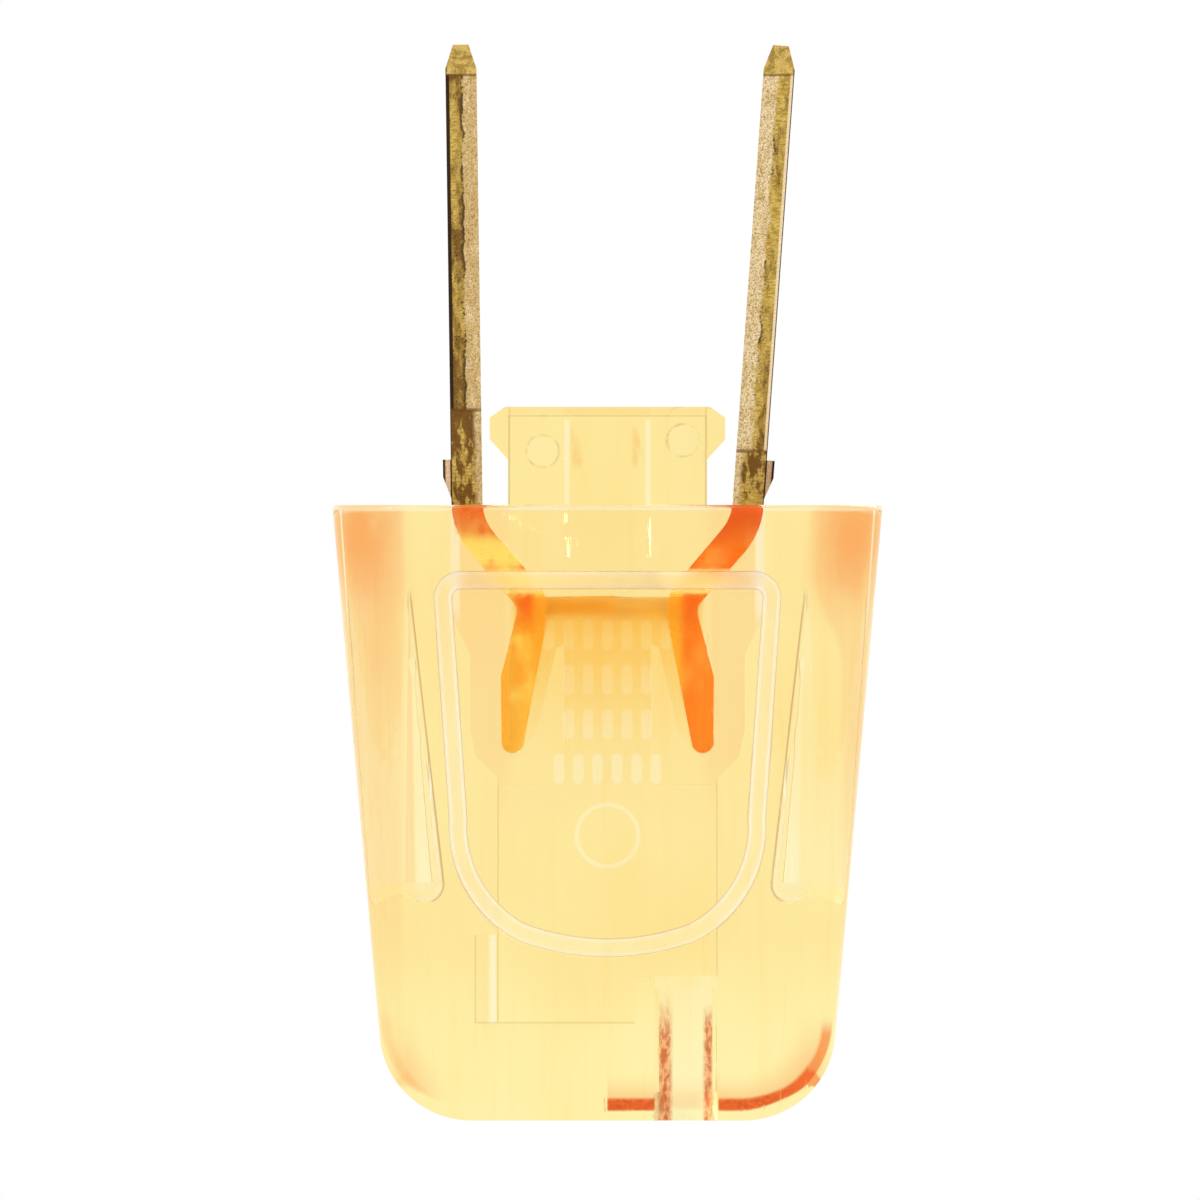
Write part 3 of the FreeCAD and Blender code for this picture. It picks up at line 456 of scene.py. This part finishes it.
# The finger grips are lenses, painted pale for the light that they bend, from a point at the top to a
# round end, with a painted brown shade line down their inner side. Their round end is hazy.
GRIP_TOP = 24.9
GRIP_WIDEST = 11.0
GRIP_SPREAD = 9.2  # from the middle, at the top
GRIP_GATHER = 8.5  # from the middle, at the widest
GRIP_HALF = 0.9
GRIP_LENGTH = GRIP_TOP - GRIP_WIDEST
GRIP_TONE = (1.0, 0.90, 0.52)
GRIP_SHARE = 0.75
GRIP_FACES = (4.6, 4.9)
GRIP_EDGE = (0.03, -0.03)
GRIP_POINT = (0.0, 0.3)
GRIP_END_HEIGHTS = (GRIP_WIDEST + 0.1, GRIP_WIDEST - 0.1)
GRIP_LINE = (0.07, 0.03)
GRIP_INNER = (0.02, -0.02)
GRIP_LINE_SHARE = 0.8
GRIP_LINE_TOP = (0.0, 1.0)
GRIP_LINE_END = (0.97, 0.9)
grip_faces = fade(behind, *GRIP_FACES)
down_grip = GRIP_TOP - z
grip_middle = down_grip * ((GRIP_GATHER - GRIP_SPREAD) / GRIP_LENGTH) + GRIP_SPREAD
grip_taper = (down_grip / GRIP_LENGTH).sum("MINIMUM", 1.0)
past_widest = largest(GRIP_WIDEST - z, 0.0) / GRIP_HALF
grip_closing = largest(1.0 - past_widest * past_widest, 0.0).sum("SQRT")
off_middle = beside - grip_middle
off_grip = abs(off_middle) - grip_taper * grip_closing * GRIP_HALF
grip = fade(off_grip, *GRIP_EDGE) * grip_faces * fade(down_grip, *GRIP_POINT)
colour = mixed(grip * GRIP_SHARE, colour, GRIP_TONE)
grip_end = grip * fade(z, *GRIP_END_HEIGHTS)
grip_shade_line = fade(abs(off_grip), *GRIP_LINE) * grip_faces * fade(off_middle, *GRIP_INNER)
grip_shade_line = grip_shade_line * fade(down_grip, *GRIP_LINE_TOP) * fade(past_widest, *GRIP_LINE_END)
colour = mixed(grip_shade_line * GRIP_LINE_SHARE, colour, LINE_BROWN)

# The cavity's walls carry a painted peach glow round the core. They show a painted white highlight band
# down each end of the mouth, and a painted fine brown shade line where the throat, the relief and the
# floor turn into them. In the relief, peach is painted on the back part and painted light on the front
# part.
CAVITY_WALL = 4.395  # half the cavity's depth
CAVITY_SIDE = 7.27  # half its width at the mouth
CAVITY_FLOOR = 4.5
STEP_SIDE = (1.25, 1.2)
THROAT_SIDE = 5.1
THROAT_FOOT = 15.9
RELIEF_SIDE = 6.15
RELIEF_TOP = 8.6
LINE_STARTS = 0.09
LINE_WHOLE = 0.05
LINE_SHARE = 0.6
WALL_NEAR = (0.1, 0.05)
CORE_SIDE = (4.2, 5.0)
CORE_PEACH = 0.3
PAST_CORE_PEACH = 0.55
CORE_PEACH_HEIGHTS = (12.5, 17.0)
BAND_BESIDE = (CAVITY_SIDE - 0.5, CAVITY_SIDE - 0.35)
BAND_HEIGHTS = (22.5, 24.0)
BAND_SHARE = 0.7
THROAT_SOFT = 0.04
THROAT_END = 0.5
RELIEF_SOFT = 0.1
RELIEF_BACK = (-THROAT_SIDE - 0.35, -THROAT_SIDE - 0.5)
RELIEF_BACK_SHARE = 0.3
RELIEF_FRONT = (-THROAT_SIDE - 0.4, -THROAT_SIDE - 0.3)
RELIEF_FRONT_SHARE = 0.8
RELIEF_FRONT_END = (-THROAT_SIDE - 0.05, -THROAT_SIDE - 0.1)
on_wall = fade(abs(behind - CAVITY_WALL), *WALL_NEAR)
core_glow = fade(beside, *CORE_SIDE) * PAST_CORE_PEACH + CORE_PEACH
colour = mixed(on_wall * core_glow * fade(z, *CORE_PEACH_HEIGHTS), colour, PEACH)
mouth_highlight_band = on_wall * fade(beside, *BAND_BESIDE) * fade(z, *BAND_HEIGHTS)
colour = mixed(mouth_highlight_band * BAND_SHARE, colour, WHITE)
throat_line = (fade(beside, THROAT_SIDE - LINE_STARTS, THROAT_SIDE - LINE_WHOLE)
               * fade(beside, THROAT_SIDE + THROAT_SOFT, THROAT_SIDE)
               * fade(z, THROAT_FOOT, THROAT_FOOT - THROAT_END))
below_relief_top = fade(z, RELIEF_TOP + RELIEF_SOFT, RELIEF_TOP)
relief_line = fade(x, LINE_STARTS - RELIEF_SIDE, LINE_WHOLE - RELIEF_SIDE) * below_relief_top
floor_line = fade(z, CAVITY_FLOOR + LINE_STARTS, CAVITY_FLOOR + LINE_WHOLE) * fade(x, *STEP_SIDE)
in_relief = on_wall * below_relief_top
relief_back = in_relief * fade(x, *RELIEF_BACK)
relief_front_light = in_relief * fade(x, *RELIEF_FRONT) * fade(x, *RELIEF_FRONT_END)
colour = mixed(relief_back * RELIEF_BACK_SHARE, colour, PEACH)
colour = mixed(relief_front_light * RELIEF_FRONT_SHARE, colour, WHITE)
colour = mixed(largest(throat_line, relief_line, floor_line) * on_wall * LINE_SHARE, colour, LINE_BROWN)

# The cord slot is pale, and its walls carry painted red-brown shade streaks, mottled darker in places,
# where the round slot bends the light.
# It is rough at its mouth.
SLOT_TONE = (1.0, 0.94, 0.59)
SLOT_OUTSIDE = 0.3
SLOT_EDGE = 0.2
SLOT_TOP_HEIGHTS = (SLOT_TOP, SLOT_TOP - 0.1)
SLOT_SHADE_LEFT = (SLOT_LEFT + 0.95, SLOT_LEFT + 0.65)
SLOT_SHADE_LEFT_HEIGHTS = (6.2, 3.4)
SLOT_SHADE_RIGHT = (SLOT_RIGHT - 0.75, SLOT_RIGHT - 0.5)
SLOT_SHADE_RIGHT_HEIGHTS = (5.6, 4.2)
SLOT_MOTTLE = dict(grains=(4.0, 4.0, 2.2), detail=4, roughness=0.7, seed=6.0)
SLOT_MOTTLE_RANGE = (0.2, 0.36)
DARK_MOTTLE_RANGE = (0.42, 0.55)
SLOT_SHADE_SHARE = 0.85
WALL_FACING = (0.3, 0.6)
SIDE_SLOT_SHADE = 0.2  # on faces that look sideways
MOUTH_ROUGH_HEIGHTS = (1.5, 1.2)
MOUTH_HAZE = 0.5
in_slot = (fade(behind, SLOT_DEPTH + SLOT_OUTSIDE, SLOT_DEPTH) * fade(z, *SLOT_TOP_HEIGHTS)
           * fade(x, SLOT_LEFT - SLOT_OUTSIDE, SLOT_LEFT - SLOT_EDGE)
           * fade(x, SLOT_RIGHT + SLOT_OUTSIDE, SLOT_RIGHT + SLOT_EDGE))
colour = mixed(in_slot, colour, SLOT_TONE)
left_slot_shade = fade(x, *SLOT_SHADE_LEFT) * fade(z, *SLOT_SHADE_LEFT_HEIGHTS)
right_slot_shade = fade(x, *SLOT_SHADE_RIGHT) * fade(z, *SLOT_SHADE_RIGHT_HEIGHTS)
slot_mottle = speckle(spot, **SLOT_MOTTLE)
faces_front = fade(outward, *WALL_FACING) * (1 - SIDE_SLOT_SHADE) + SIDE_SLOT_SHADE
slot_shade = largest(left_slot_shade, right_slot_shade) * in_slot * fade(slot_mottle, *SLOT_MOTTLE_RANGE) * faces_front
colour = mixed(slot_shade * SLOT_SHADE_SHARE, colour, RED_ORANGE)
colour = mixed(slot_shade * fade(slot_mottle, *DARK_MOTTLE_RANGE), colour, RED_BROWN)
colour.into(sockets["tone"])
rough_mouth = in_slot * fade(z, *MOUTH_ROUGH_HEIGHTS) * MOUTH_HAZE
largest(bevel, rough_mouth, grip_end).into(sockets["haze"])
finish_node("housing", shell_plastic)

# Insert: the sliding core, moulded in the same plastic, with a painted brown shade line down the edges of
# its proud head, orange streaks on the corners of its channel, and two pale ejector marks.
BODY_HALF = 4.6
HEAD_FACE = 4.295  # half the head's depth
HEAD_NEAR = (HEAD_FACE - 0.06, HEAD_FACE - 0.03)
insert_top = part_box("insert")[1][2] * MILLIMETRES
insert_plastic, sockets = clear_plastic(
    "insert_plastic", bending=1.12, streak_tone=(1.0, 0.88, 0.7), drift=0.4, streaks=0.35,
    ripple=0.2, scuffs=0.25)
tree = insert_plastic.node_tree
spot = in_millimetres(tree)
x, y, z = split(spot)
beside, behind = abs(x), abs(y)
facing_x, _, facing_z = split(own_normal(tree))
sideways, upward = abs(facing_x), abs(facing_z)
on_face = fade(behind, *HEAD_NEAR)

# Between the blades' arms the core carries their orange reflection, deepest and hazy just under
# their teeth.
WASH_TOP = 24.3
WASH_LOWEST = 15.9
WASH_HALF = 4.6
WASH_SIDE = (WASH_HALF, WASH_HALF - 0.8)
WASH_TOP_HEIGHTS = (WASH_TOP, WASH_TOP - 0.2)
TEETH_LOWEST = 22.0
WASH_TONE = (1.0, 0.71, 0.43)
WASH_DEEP = (1.0, 0.85, 0.55)
TEETH_DEEP = (1.0, 0.81, 0.47)
TEETH_HAZE = 0.9
between_arms = fade(beside, *WASH_SIDE) * fade(z, *WASH_TOP_HEIGHTS)
wash = between_arms * fade(z, WASH_LOWEST, WASH_TOP)
under_teeth = between_arms * fade(z, TEETH_LOWEST, WASH_TOP)
colour = mixed(wash, AMBER, WASH_TONE)
mixed(under_teeth, mixed(wash, DEEP_TONE, WASH_DEEP), TEETH_DEEP).into(sockets["deep"])
(under_teeth * TEETH_HAZE).into(sockets["haze"])

# The head's edges carry a painted brown shade line, and the bevel along its top is painted a deeper amber
# as shade, with a painted brown shade line at its foot.
HEAD_EDGE = (BODY_HALF - 0.12, BODY_HALF - 0.06)
HEAD_EDGE_SHARE = 0.5
BEVEL_STEEP = 0.5
BEVEL_FLAT = 0.9
BEVEL_HEIGHTS = (insert_top - 0.6, insert_top - 0.5)
BEVEL_FOOT_HEIGHTS = (insert_top - 0.36, insert_top - 0.42)
BEVEL_TONE = (0.97, 0.70, 0.25)
BEVEL_SHARE = 0.6
head_edge_shade = fade(beside, *HEAD_EDGE) * on_face
colour = mixed(head_edge_shade * HEAD_EDGE_SHARE, colour, LINE_BROWN)
sloping = upward.sum("GREATER_THAN", BEVEL_STEEP) * upward.sum("LESS_THAN", BEVEL_FLAT)
head_bevel_shade = sloping * fade(z, *BEVEL_HEIGHTS)
colour = mixed(head_bevel_shade * BEVEL_SHARE, colour, BEVEL_TONE)
colour = mixed(head_bevel_shade * fade(z, *BEVEL_FOOT_HEIGHTS) * BEVEL_SHARE, colour, LINE_BROWN)

# The ejector marks: two shallow round dents with pale floors, each with a broken brown ring.
MARK_FLOOR = 4.175  # half the depth between the marks' floors
MARK_NEAR = (0.03, 0.02)
MARK_HEIGHTS = (insert_top - 3.5, insert_top - 3.2)
MARK_SHARE = 0.2
RING_SHARE = 0.55
RING_RADIUS = 0.75
RING_EDGE = (0.09, 0.02)
RING_BESIDE = 3.0
RING_DROP = 2.05
RIGHT_OFFSET = 0.5  # the right mark sits further out and higher
RING_BREAKS = dict(grains=(1.6, 1.6, 1.6), detail=3, roughness=0.6, seed=8.0)
BREAK_RANGE = (0.46, 0.62)
mark = fade(abs(behind - MARK_FLOOR), *MARK_NEAR) * fade(z, *MARK_HEIGHTS)
colour = mixed(mark * MARK_SHARE, colour, PALE_AMBER)
right_offset = x.sum("GREATER_THAN", 0.0) * RIGHT_OFFSET
ring_across = beside - (right_offset + RING_BESIDE)
ring_up = z - (right_offset + (insert_top - RING_DROP))
from_mark = (ring_across * ring_across + ring_up * ring_up).sum("SQRT")
broken = fade(speckle(spot, **RING_BREAKS), *BREAK_RANGE)
ring = fade(abs(from_mark - RING_RADIUS), *RING_EDGE) * on_face * broken
colour = mixed(ring * RING_SHARE, colour, LINE_BROWN)

# The channel's corner facets end in a painted pale highlight edge. Near the top of the head the plastic
# beside them is streaked orange.
FACET_LEAST = (0.2, 0.25)
FACET_MOST = (0.6, 0.5)
FACET_BESIDE = (2.2, 2.1)
FACET_HEIGHTS = (24.5, 26.0)
FACET_EDGE = (1.72, 1.8)
FACET_TONE = (1.0, 0.97, 0.80)
ORANGE_STREAKS = dict(grains=(1.4, 1.4, 0.45), detail=3, roughness=0.6, seed=2.0)
ORANGE_STREAK_RANGE = (0.38, 0.58)
ORANGE_STREAK_TONE = (0.94, 0.46, 0.13)
ORANGE_STREAK_SHARE = 0.75
ORANGE_STREAK_INNER = (1.05, 1.25)
ORANGE_STREAK_OUTER = (1.8, 1.5)
ORANGE_STREAK_FACES = (3.5, 3.8)
ORANGE_STREAK_FOOT_HEIGHTS = (30.0, 30.6)
ORANGE_STREAK_TOP_HEIGHTS = (32.4, 31.8)
facet = fade(sideways, *FACET_LEAST) * fade(sideways, *FACET_MOST) * fade(beside, *FACET_BESIDE)
facet_highlight = facet * fade(z, *FACET_HEIGHTS) * fade(beside, *FACET_EDGE)
colour = mixed(facet_highlight, colour, FACET_TONE)
orange_streak = fade(speckle(spot, **ORANGE_STREAKS), *ORANGE_STREAK_RANGE)
orange_streaked = orange_streak * fade(beside, *ORANGE_STREAK_INNER) * fade(beside, *ORANGE_STREAK_OUTER) * fade(behind, *ORANGE_STREAK_FACES)
orange_streaked = orange_streaked * fade(z, *ORANGE_STREAK_FOOT_HEIGHTS) * fade(z, *ORANGE_STREAK_TOP_HEIGHTS)
colour = mixed(orange_streaked * ORANGE_STREAK_SHARE, colour, ORANGE_STREAK_TONE)
colour.into(sockets["tone"])
finish_node("insert", insert_plastic)

# Blades: bent from thick brass strip and left bare. The sheared edge is smeared olive and brown
# on its outer half, torn and grainy on its inner half, with a strip down its outer corner, pale on the
# right blade and painted black as shadow on the left.
BRASS_PALE = (0.71, 0.56, 0.34)
BRASS_LIGHT = (0.55, 0.39, 0.18)
BRASS_GOLD = (0.60, 0.42, 0.11)
BRASS_OLIVE = (0.32, 0.20, 0.035)
BRASS_BROWN = (0.13, 0.052, 0.012)
BRASS_BLACK = (0.035, 0.02, 0.01)
SHEAR_GRAIN = dict(grains=(13.0, 13.0, 10.0), detail=3, roughness=0.7)
CROSS_BRUSHING = dict(grains=(2.5, 2.5, 9.0), detail=3, roughness=0.65)
BLOTCHES = dict(grains=(3.2, 3.2, 1.3), detail=4, roughness=0.65)
TARNISH_CLOUDS = dict(grains=(0.9, 0.9, 0.28), detail=3, roughness=0.6)
EDGE_WANDER = dict(grains=(0.05, 0.05, 0.9), detail=4, roughness=0.7)
NOISE_MIDDLE = 0.5
WANDER_WIDTH = 0.4
BLOTCH_PULL = 0.8
BRUSH_PULL = 0.7
aged_brass, given, put_out = shader_group(
    "aged_brass",
    {"Across": 0.5, "Past Step": 0.0, "Past Tip Line": 0.0, "Seed": 0.0, "Tarnish": 0.0,
     "Strip Tone": (0, 0, 0, 1)},
    {"Color": "NodeSocketColor", "Roughness": "NodeSocketFloat", "Normal": "NodeSocketVector"})
spot = in_millimetres(aged_brass)
seed = given["Seed"]
grain = speckle(spot, seed=seed, **SHEAR_GRAIN)
brushed = speckle(spot, seed=seed, **CROSS_BRUSHING)
blotches = speckle(spot, seed=seed, **BLOTCHES)
cloudy = speckle(spot, seed=seed, **TARNISH_CLOUDS)
wander = speckle(spot, seed=seed, **EDGE_WANDER) - NOISE_MIDDLE
across = wander * WANDER_WIDTH + given["Across"]
tarnish = cloudy + given["Tarnish"]
patchy = (blotches - NOISE_MIDDLE) * BLOTCH_PULL + tarnish
patchy = (brushed - NOISE_MIDDLE) * BRUSH_PULL + patchy

# The sheared edge, from its torn and grainy pale inner half to its smeared outer half, with a
# broken dark line between them.
TORN_TARNISH = -2.5
TORN_RANGE = (0.3, 0.55)
TORN_OLIVE = (0.54, 0.39)
TORN_OLIVE_SHARE = 0.8
TORN_PITS = (0.40, 0.33)
TORN_PIT_PLACES = (0.5, 0.4)
SMEAR_RANGE = (0.38, 0.6)
SMEAR_BROWN = (0.46, 0.70)
SMEAR_BROWN_SHARE = 0.85
SMEAR_SPARKS = (0.60, 0.68)
SMEAR_SPARK_SHARE = 0.5
SMEAR_SPECKS = (0.43, 0.36)
SPECK_PLACES = (0.4, 0.6)
HALF_WAY = (0.42, 0.54)
LINE_INNER = (0.44, 0.48)
LINE_OUTER = (0.56, 0.50)
LINE_BREAKS = (0.47, 0.55)
DARK_LINE_SHARE = 0.8
torn = mixed(fade(given["Tarnish"] * TORN_TARNISH + blotches, *TORN_RANGE), BRASS_LIGHT, BRASS_PALE)
torn = mixed(fade(grain, *TORN_OLIVE) * TORN_OLIVE_SHARE, torn, BRASS_OLIVE)
torn = mixed(fade(grain, *TORN_PITS) * fade(blotches, *TORN_PIT_PLACES), torn, BRASS_BROWN)
smeared = mixed(fade(brushed, *SMEAR_RANGE), BRASS_OLIVE, BRASS_GOLD)
smeared = mixed(fade(patchy, *SMEAR_BROWN) * SMEAR_BROWN_SHARE, smeared, BRASS_BROWN)
smeared = mixed(fade(grain, *SMEAR_SPARKS) * SMEAR_SPARK_SHARE, smeared, BRASS_LIGHT)
smeared = mixed(fade(grain, *SMEAR_SPECKS) * fade(patchy, *SPECK_PLACES), smeared, BRASS_BLACK)
smear_line = fade(across, *LINE_INNER) * fade(across, *LINE_OUTER) * fade(patchy, *LINE_BREAKS)
sheared = mixed(fade(across, *HALF_WAY), torn, smeared)
sheared = mixed(smear_line * DARK_LINE_SHARE, sheared, BRASS_BLACK)

# Below the step the strip was pressed flat and is darkest, and the tip was struck to its bevel.
PRESSED_RANGE = (0.35, 0.7)
PRESSED_SPARKS = (0.55, 0.65)
PRESSED_SPARK_SHARE = 0.6
STEP_STAIN = 0.1
STEP_STAIN_AT = (-2.6, -0.4)
STAIN_TARNISH = 1.5
STAIN_RANGE = (0.52, 0.64)
STAIN_SHARE = 0.9
STEP_BELOW = (0.06, -0.06)
STEP_INSIDE = (0.1, 0.3)
STEP_LINE = (0.12, 0.04)
TIP_ABOVE = (-0.05, 0.1)
TIP_LINE_WIDTH = (0.09, 0.02)
PRESS_LINE_SHARE = 0.7
STRUCK_RANGE = (0.4, 0.6)
STRUCK_SPARKS = (0.54, 0.66)
STRUCK_PITS = (0.42, 0.34)
STRUCK_PIT_SHARE = 0.7
past_step, past_tip_line = given["Past Step"], given["Past Tip Line"]
pressed = mixed(fade(brushed, *PRESSED_RANGE), BRASS_OLIVE, BRASS_GOLD)
pressed = mixed(fade(grain, *PRESSED_SPARKS) * PRESSED_SPARK_SHARE, pressed, BRASS_LIGHT)
near_step = fade(past_step, *STEP_STAIN_AT) * STEP_STAIN
stained = given["Tarnish"] * STAIN_TARNISH + blotches + near_step
pressed = mixed(fade(stained, *STAIN_RANGE) * STAIN_SHARE, pressed, BRASS_BROWN)
sheared = mixed(fade(past_step, *STEP_BELOW) * fade(across, *STEP_INSIDE), sheared, pressed)
struck = mixed(fade(blotches, *STRUCK_RANGE), BRASS_OLIVE, BRASS_GOLD)
struck = mixed(fade(grain, *STRUCK_SPARKS), struck, BRASS_LIGHT)
struck = mixed(fade(grain, *STRUCK_PITS) * STRUCK_PIT_SHARE, struck, BRASS_BROWN)
sheared = mixed(fade(past_tip_line, *TIP_ABOVE), sheared, struck)
press_lines = largest(fade(abs(past_step), *STEP_LINE), fade(abs(past_tip_line), *TIP_LINE_WIDTH))
sheared = mixed(press_lines * PRESS_LINE_SHARE, sheared, BRASS_BROWN)

# The strip and the painted dark shadow edge outside it run from the step to the tip. The barb stands
# out past them, with a dark outer edge.
STRIP_FROM = (0.86, 0.9)
STRIP_ABOVE = (-0.05, 0.1)
STRIP_BELOW = (0.1, -0.1)
SHADOW_EDGE = (0.955, 0.985)
BARB_FROM = (1.01, 1.03)
BARB_DARK = (1.15, 1.21)
BARB_TONE = (0.72, 0.52, 0.36)
whole_across = given["Across"]
strip = fade(whole_across, *STRIP_FROM) * fade(past_step, *STRIP_ABOVE) * fade(past_tip_line, *STRIP_BELOW)
sheared = mixed(strip, sheared, given["Strip Tone"])
sheared = mixed(fade(whole_across, *SHADOW_EDGE), sheared, BRASS_BLACK)
barb = mixed(fade(whole_across, *BARB_DARK), BARB_TONE, BRASS_BLACK)
sheared = mixed(fade(whole_across, *BARB_FROM), sheared, barb)

# The broad faces are rolled and wiped clean along the blade, with tarnish in patches. All the
# faces are pitted and scored, and the sheared ones are duller.
WIPING = dict(grains=(0.6, 5.0, 0.25), detail=3, roughness=0.6)
WIPED_RANGE = (0.35, 0.65)
ROLLED_OLIVE = (0.45, 0.7)
ROLLED_OLIVE_SHARE = 0.8
ROLLED_PITS = (0.40, 0.33)
ROLLED_PIT_SHARE = 0.7
SHEARED_FACING = (0.4, 0.6)
DULL_TARNISH = (0.35, 0.65)
DULL_EDGE = 0.6
CLEAN_ROUGHNESS = 0.3
DULL_ROUGHNESS = 0.6
PIT_STRENGTH = 0.5
PIT_DEPTH = 0.00006
SCORE_STRENGTH = 0.35
SCORE_DEPTH = 0.00005
rolled = mixed(fade(speckle(spot, seed=seed, **WIPING), *WIPED_RANGE), BRASS_GOLD, BRASS_LIGHT)
rolled = mixed(fade(tarnish, *ROLLED_OLIVE) * ROLLED_OLIVE_SHARE, rolled, BRASS_OLIVE)
rolled = mixed(fade(grain, *ROLLED_PITS) * ROLLED_PIT_SHARE, rolled, BRASS_BROWN)
_, facing_y, _ = split(own_normal(aged_brass))
edge_face = fade(abs(facing_y), *SHEARED_FACING)
mixed(edge_face, rolled, sheared).into(put_out["Color"])
dulled = largest(fade(tarnish, *DULL_TARNISH), edge_face * DULL_EDGE)
(dulled * (DULL_ROUGHNESS - CLEAN_ROUGHNESS) + CLEAN_ROUGHNESS).into(put_out["Roughness"])
pitted = add_node(aged_brass, "ShaderNodeBump", {
    "Strength": PIT_STRENGTH, "Distance": PIT_DEPTH, "Height": grain})
scored = add_node(aged_brass, "ShaderNodeBump", {
    "Strength": SCORE_STRENGTH, "Distance": SCORE_DEPTH, "Height": brushed,
    "Normal": pitted.outputs["Normal"]})
aged_brass.links.new(scored.outputs["Normal"], put_out["Normal"])

# Through the amber plastic the brass carries a painted glow, its colour for rays that reach it through the
# plastic: red at the mouth, orange below it and yellow in places, most on the left blade. Its teeth are
# painted amber, and its knee a painted pale light above them.
GLOW_PALE = (1.0, 0.93, 0.62)
GLOW_YELLOW = (1.0, 0.95, 0.45)
GLOW_AMBER = (1.0, 0.64, 0.12)
GLOW_ORANGE = (0.96, 0.21, 0.006)
GLOW_RED = (0.81, 0.13, 0.02)
PRONG_OFFSET = 6.504  # from the middle, at the shell's mouth
STRIP_THICK = 1.44
TIP_LINE = 48.4
TEETH_BESIDE = (3.7, 3.2)
TEETH_TOP = 24.4
KNEE_TOP_HEIGHTS = (25.65, 25.4)
GLOW_PATCHES = dict(grains=(0.7, 0.7, 0.5), detail=3, roughness=0.55)
GLOW_PATCH_RANGE = (0.42, 0.62)
ARM_FALL = 2.0
ARM_END_HEIGHTS = (20.5, 18.5)
ARM_END_LOSS = 0.6
MOUTH_GLOW_HEIGHTS = (shell_height - 2.2, shell_height - 0.4)
MOUTH_LOSS = 0.35  # less red where the arm is yellow
YELLOW_REACH = (1.1, 0.3)
YELLOW_RANGE = (0.3, 0.45)
TEETH_SOFT = 0.2
KNEE_SOFT = 0.1
KNEE_FACING = (0.5, 0.8)
KNEE_SHARE = 0.85
WETTED_SHARE = 0.2  # of the roughness, where plastic covers the brass


def blade_brass(name, side, splay, seed, tarnish, step, strip_tone, yellow_height, yellow_share):
    """The brass of one blade, laid out along its prong, which leans out by splay. Buried, it carries
    a painted glow, yellow about one height, and its arm is amber by the share given."""
    brass = bpy.data.materials.new(name)
    brass.use_nodes = True
    tree = brass.node_tree
    shader = tree.nodes["Principled BSDF"]
    shader.inputs["Metallic"].default_value = 1
    spot = in_millimetres(tree)
    x, _, z = split(spot)
    prong_middle = (z - shell_height) * math.tan(math.radians(splay)) + PRONG_OFFSET
    from_middle = x * side - prong_middle
    surface = add_node(tree, "ShaderNodeGroup", node_tree=aged_brass, inputs={
        "Across": from_middle * (1 / STRIP_THICK) + 0.5, "Past Step": z - step,
        "Past Tip Line": z - TIP_LINE, "Seed": seed, "Tarnish": tarnish, "Strip Tone": (*strip_tone, 1)})

    # Patches where the painted glow turns yellow.
    glow_patches = speckle(spot, seed=seed, **GLOW_PATCHES)
    glow = mixed(fade(z, TEETH_TOP, TEETH_TOP - ARM_FALL) * yellow_share, GLOW_ORANGE, GLOW_AMBER)
    arm_share = fade(z, *ARM_END_HEIGHTS) * -ARM_END_LOSS + yellow_share
    glow = mixed(fade(glow_patches, *GLOW_PATCH_RANGE) * arm_share, glow, GLOW_YELLOW)
    glow = mixed(fade(z, *MOUTH_GLOW_HEIGHTS) * (1 - MOUTH_LOSS * yellow_share), glow, GLOW_RED)
    yellow = fade(abs(z - yellow_height), *YELLOW_REACH) * fade(glow_patches, *YELLOW_RANGE)
    glow = mixed(yellow, glow, GLOW_YELLOW)
    teeth = fade(abs(x), *TEETH_BESIDE) * fade(z, TEETH_TOP + TEETH_SOFT, TEETH_TOP)
    glow = mixed(teeth, glow, GLOW_AMBER)
    _, facing_y, _ = split(own_normal(tree))
    knee = (fade(z, TEETH_TOP - KNEE_SOFT, TEETH_TOP + KNEE_SOFT) * fade(z, *KNEE_TOP_HEIGHTS)
            * fade(abs(facing_y), *KNEE_FACING))
    glow = mixed(knee * KNEE_SHARE, glow, GLOW_PALE)

    buried = Field(tree, add_node(tree, "ShaderNodeLightPath").outputs["Is Transmission Ray"])
    shown = mixed(buried, Field(tree, surface.outputs["Color"]), glow)
    shown.into(shader.inputs["Base Color"])
    roughness_seen = Field(tree, surface.outputs["Roughness"]) * (buried * (WETTED_SHARE - 1) + 1.0)
    roughness_seen.into(shader.inputs["Roughness"])
    tree.links.new(surface.outputs["Normal"], shader.inputs["Normal"])
    finish_node(name, brass)


# The left blade's edge strip is painted black as shadow.
blade_brass("blade_left", side=-1, splay=0.8, seed=1.0, tarnish=0.06, step=32.9,
            strip_tone=BRASS_BLACK, yellow_height=26.3, yellow_share=0.8)
blade_brass("blade_right", side=1, splay=4.1, seed=5.0, tarnish=0.0, step=31.0,
            strip_tone=BRASS_PALE, yellow_height=12.0, yellow_share=0.2)
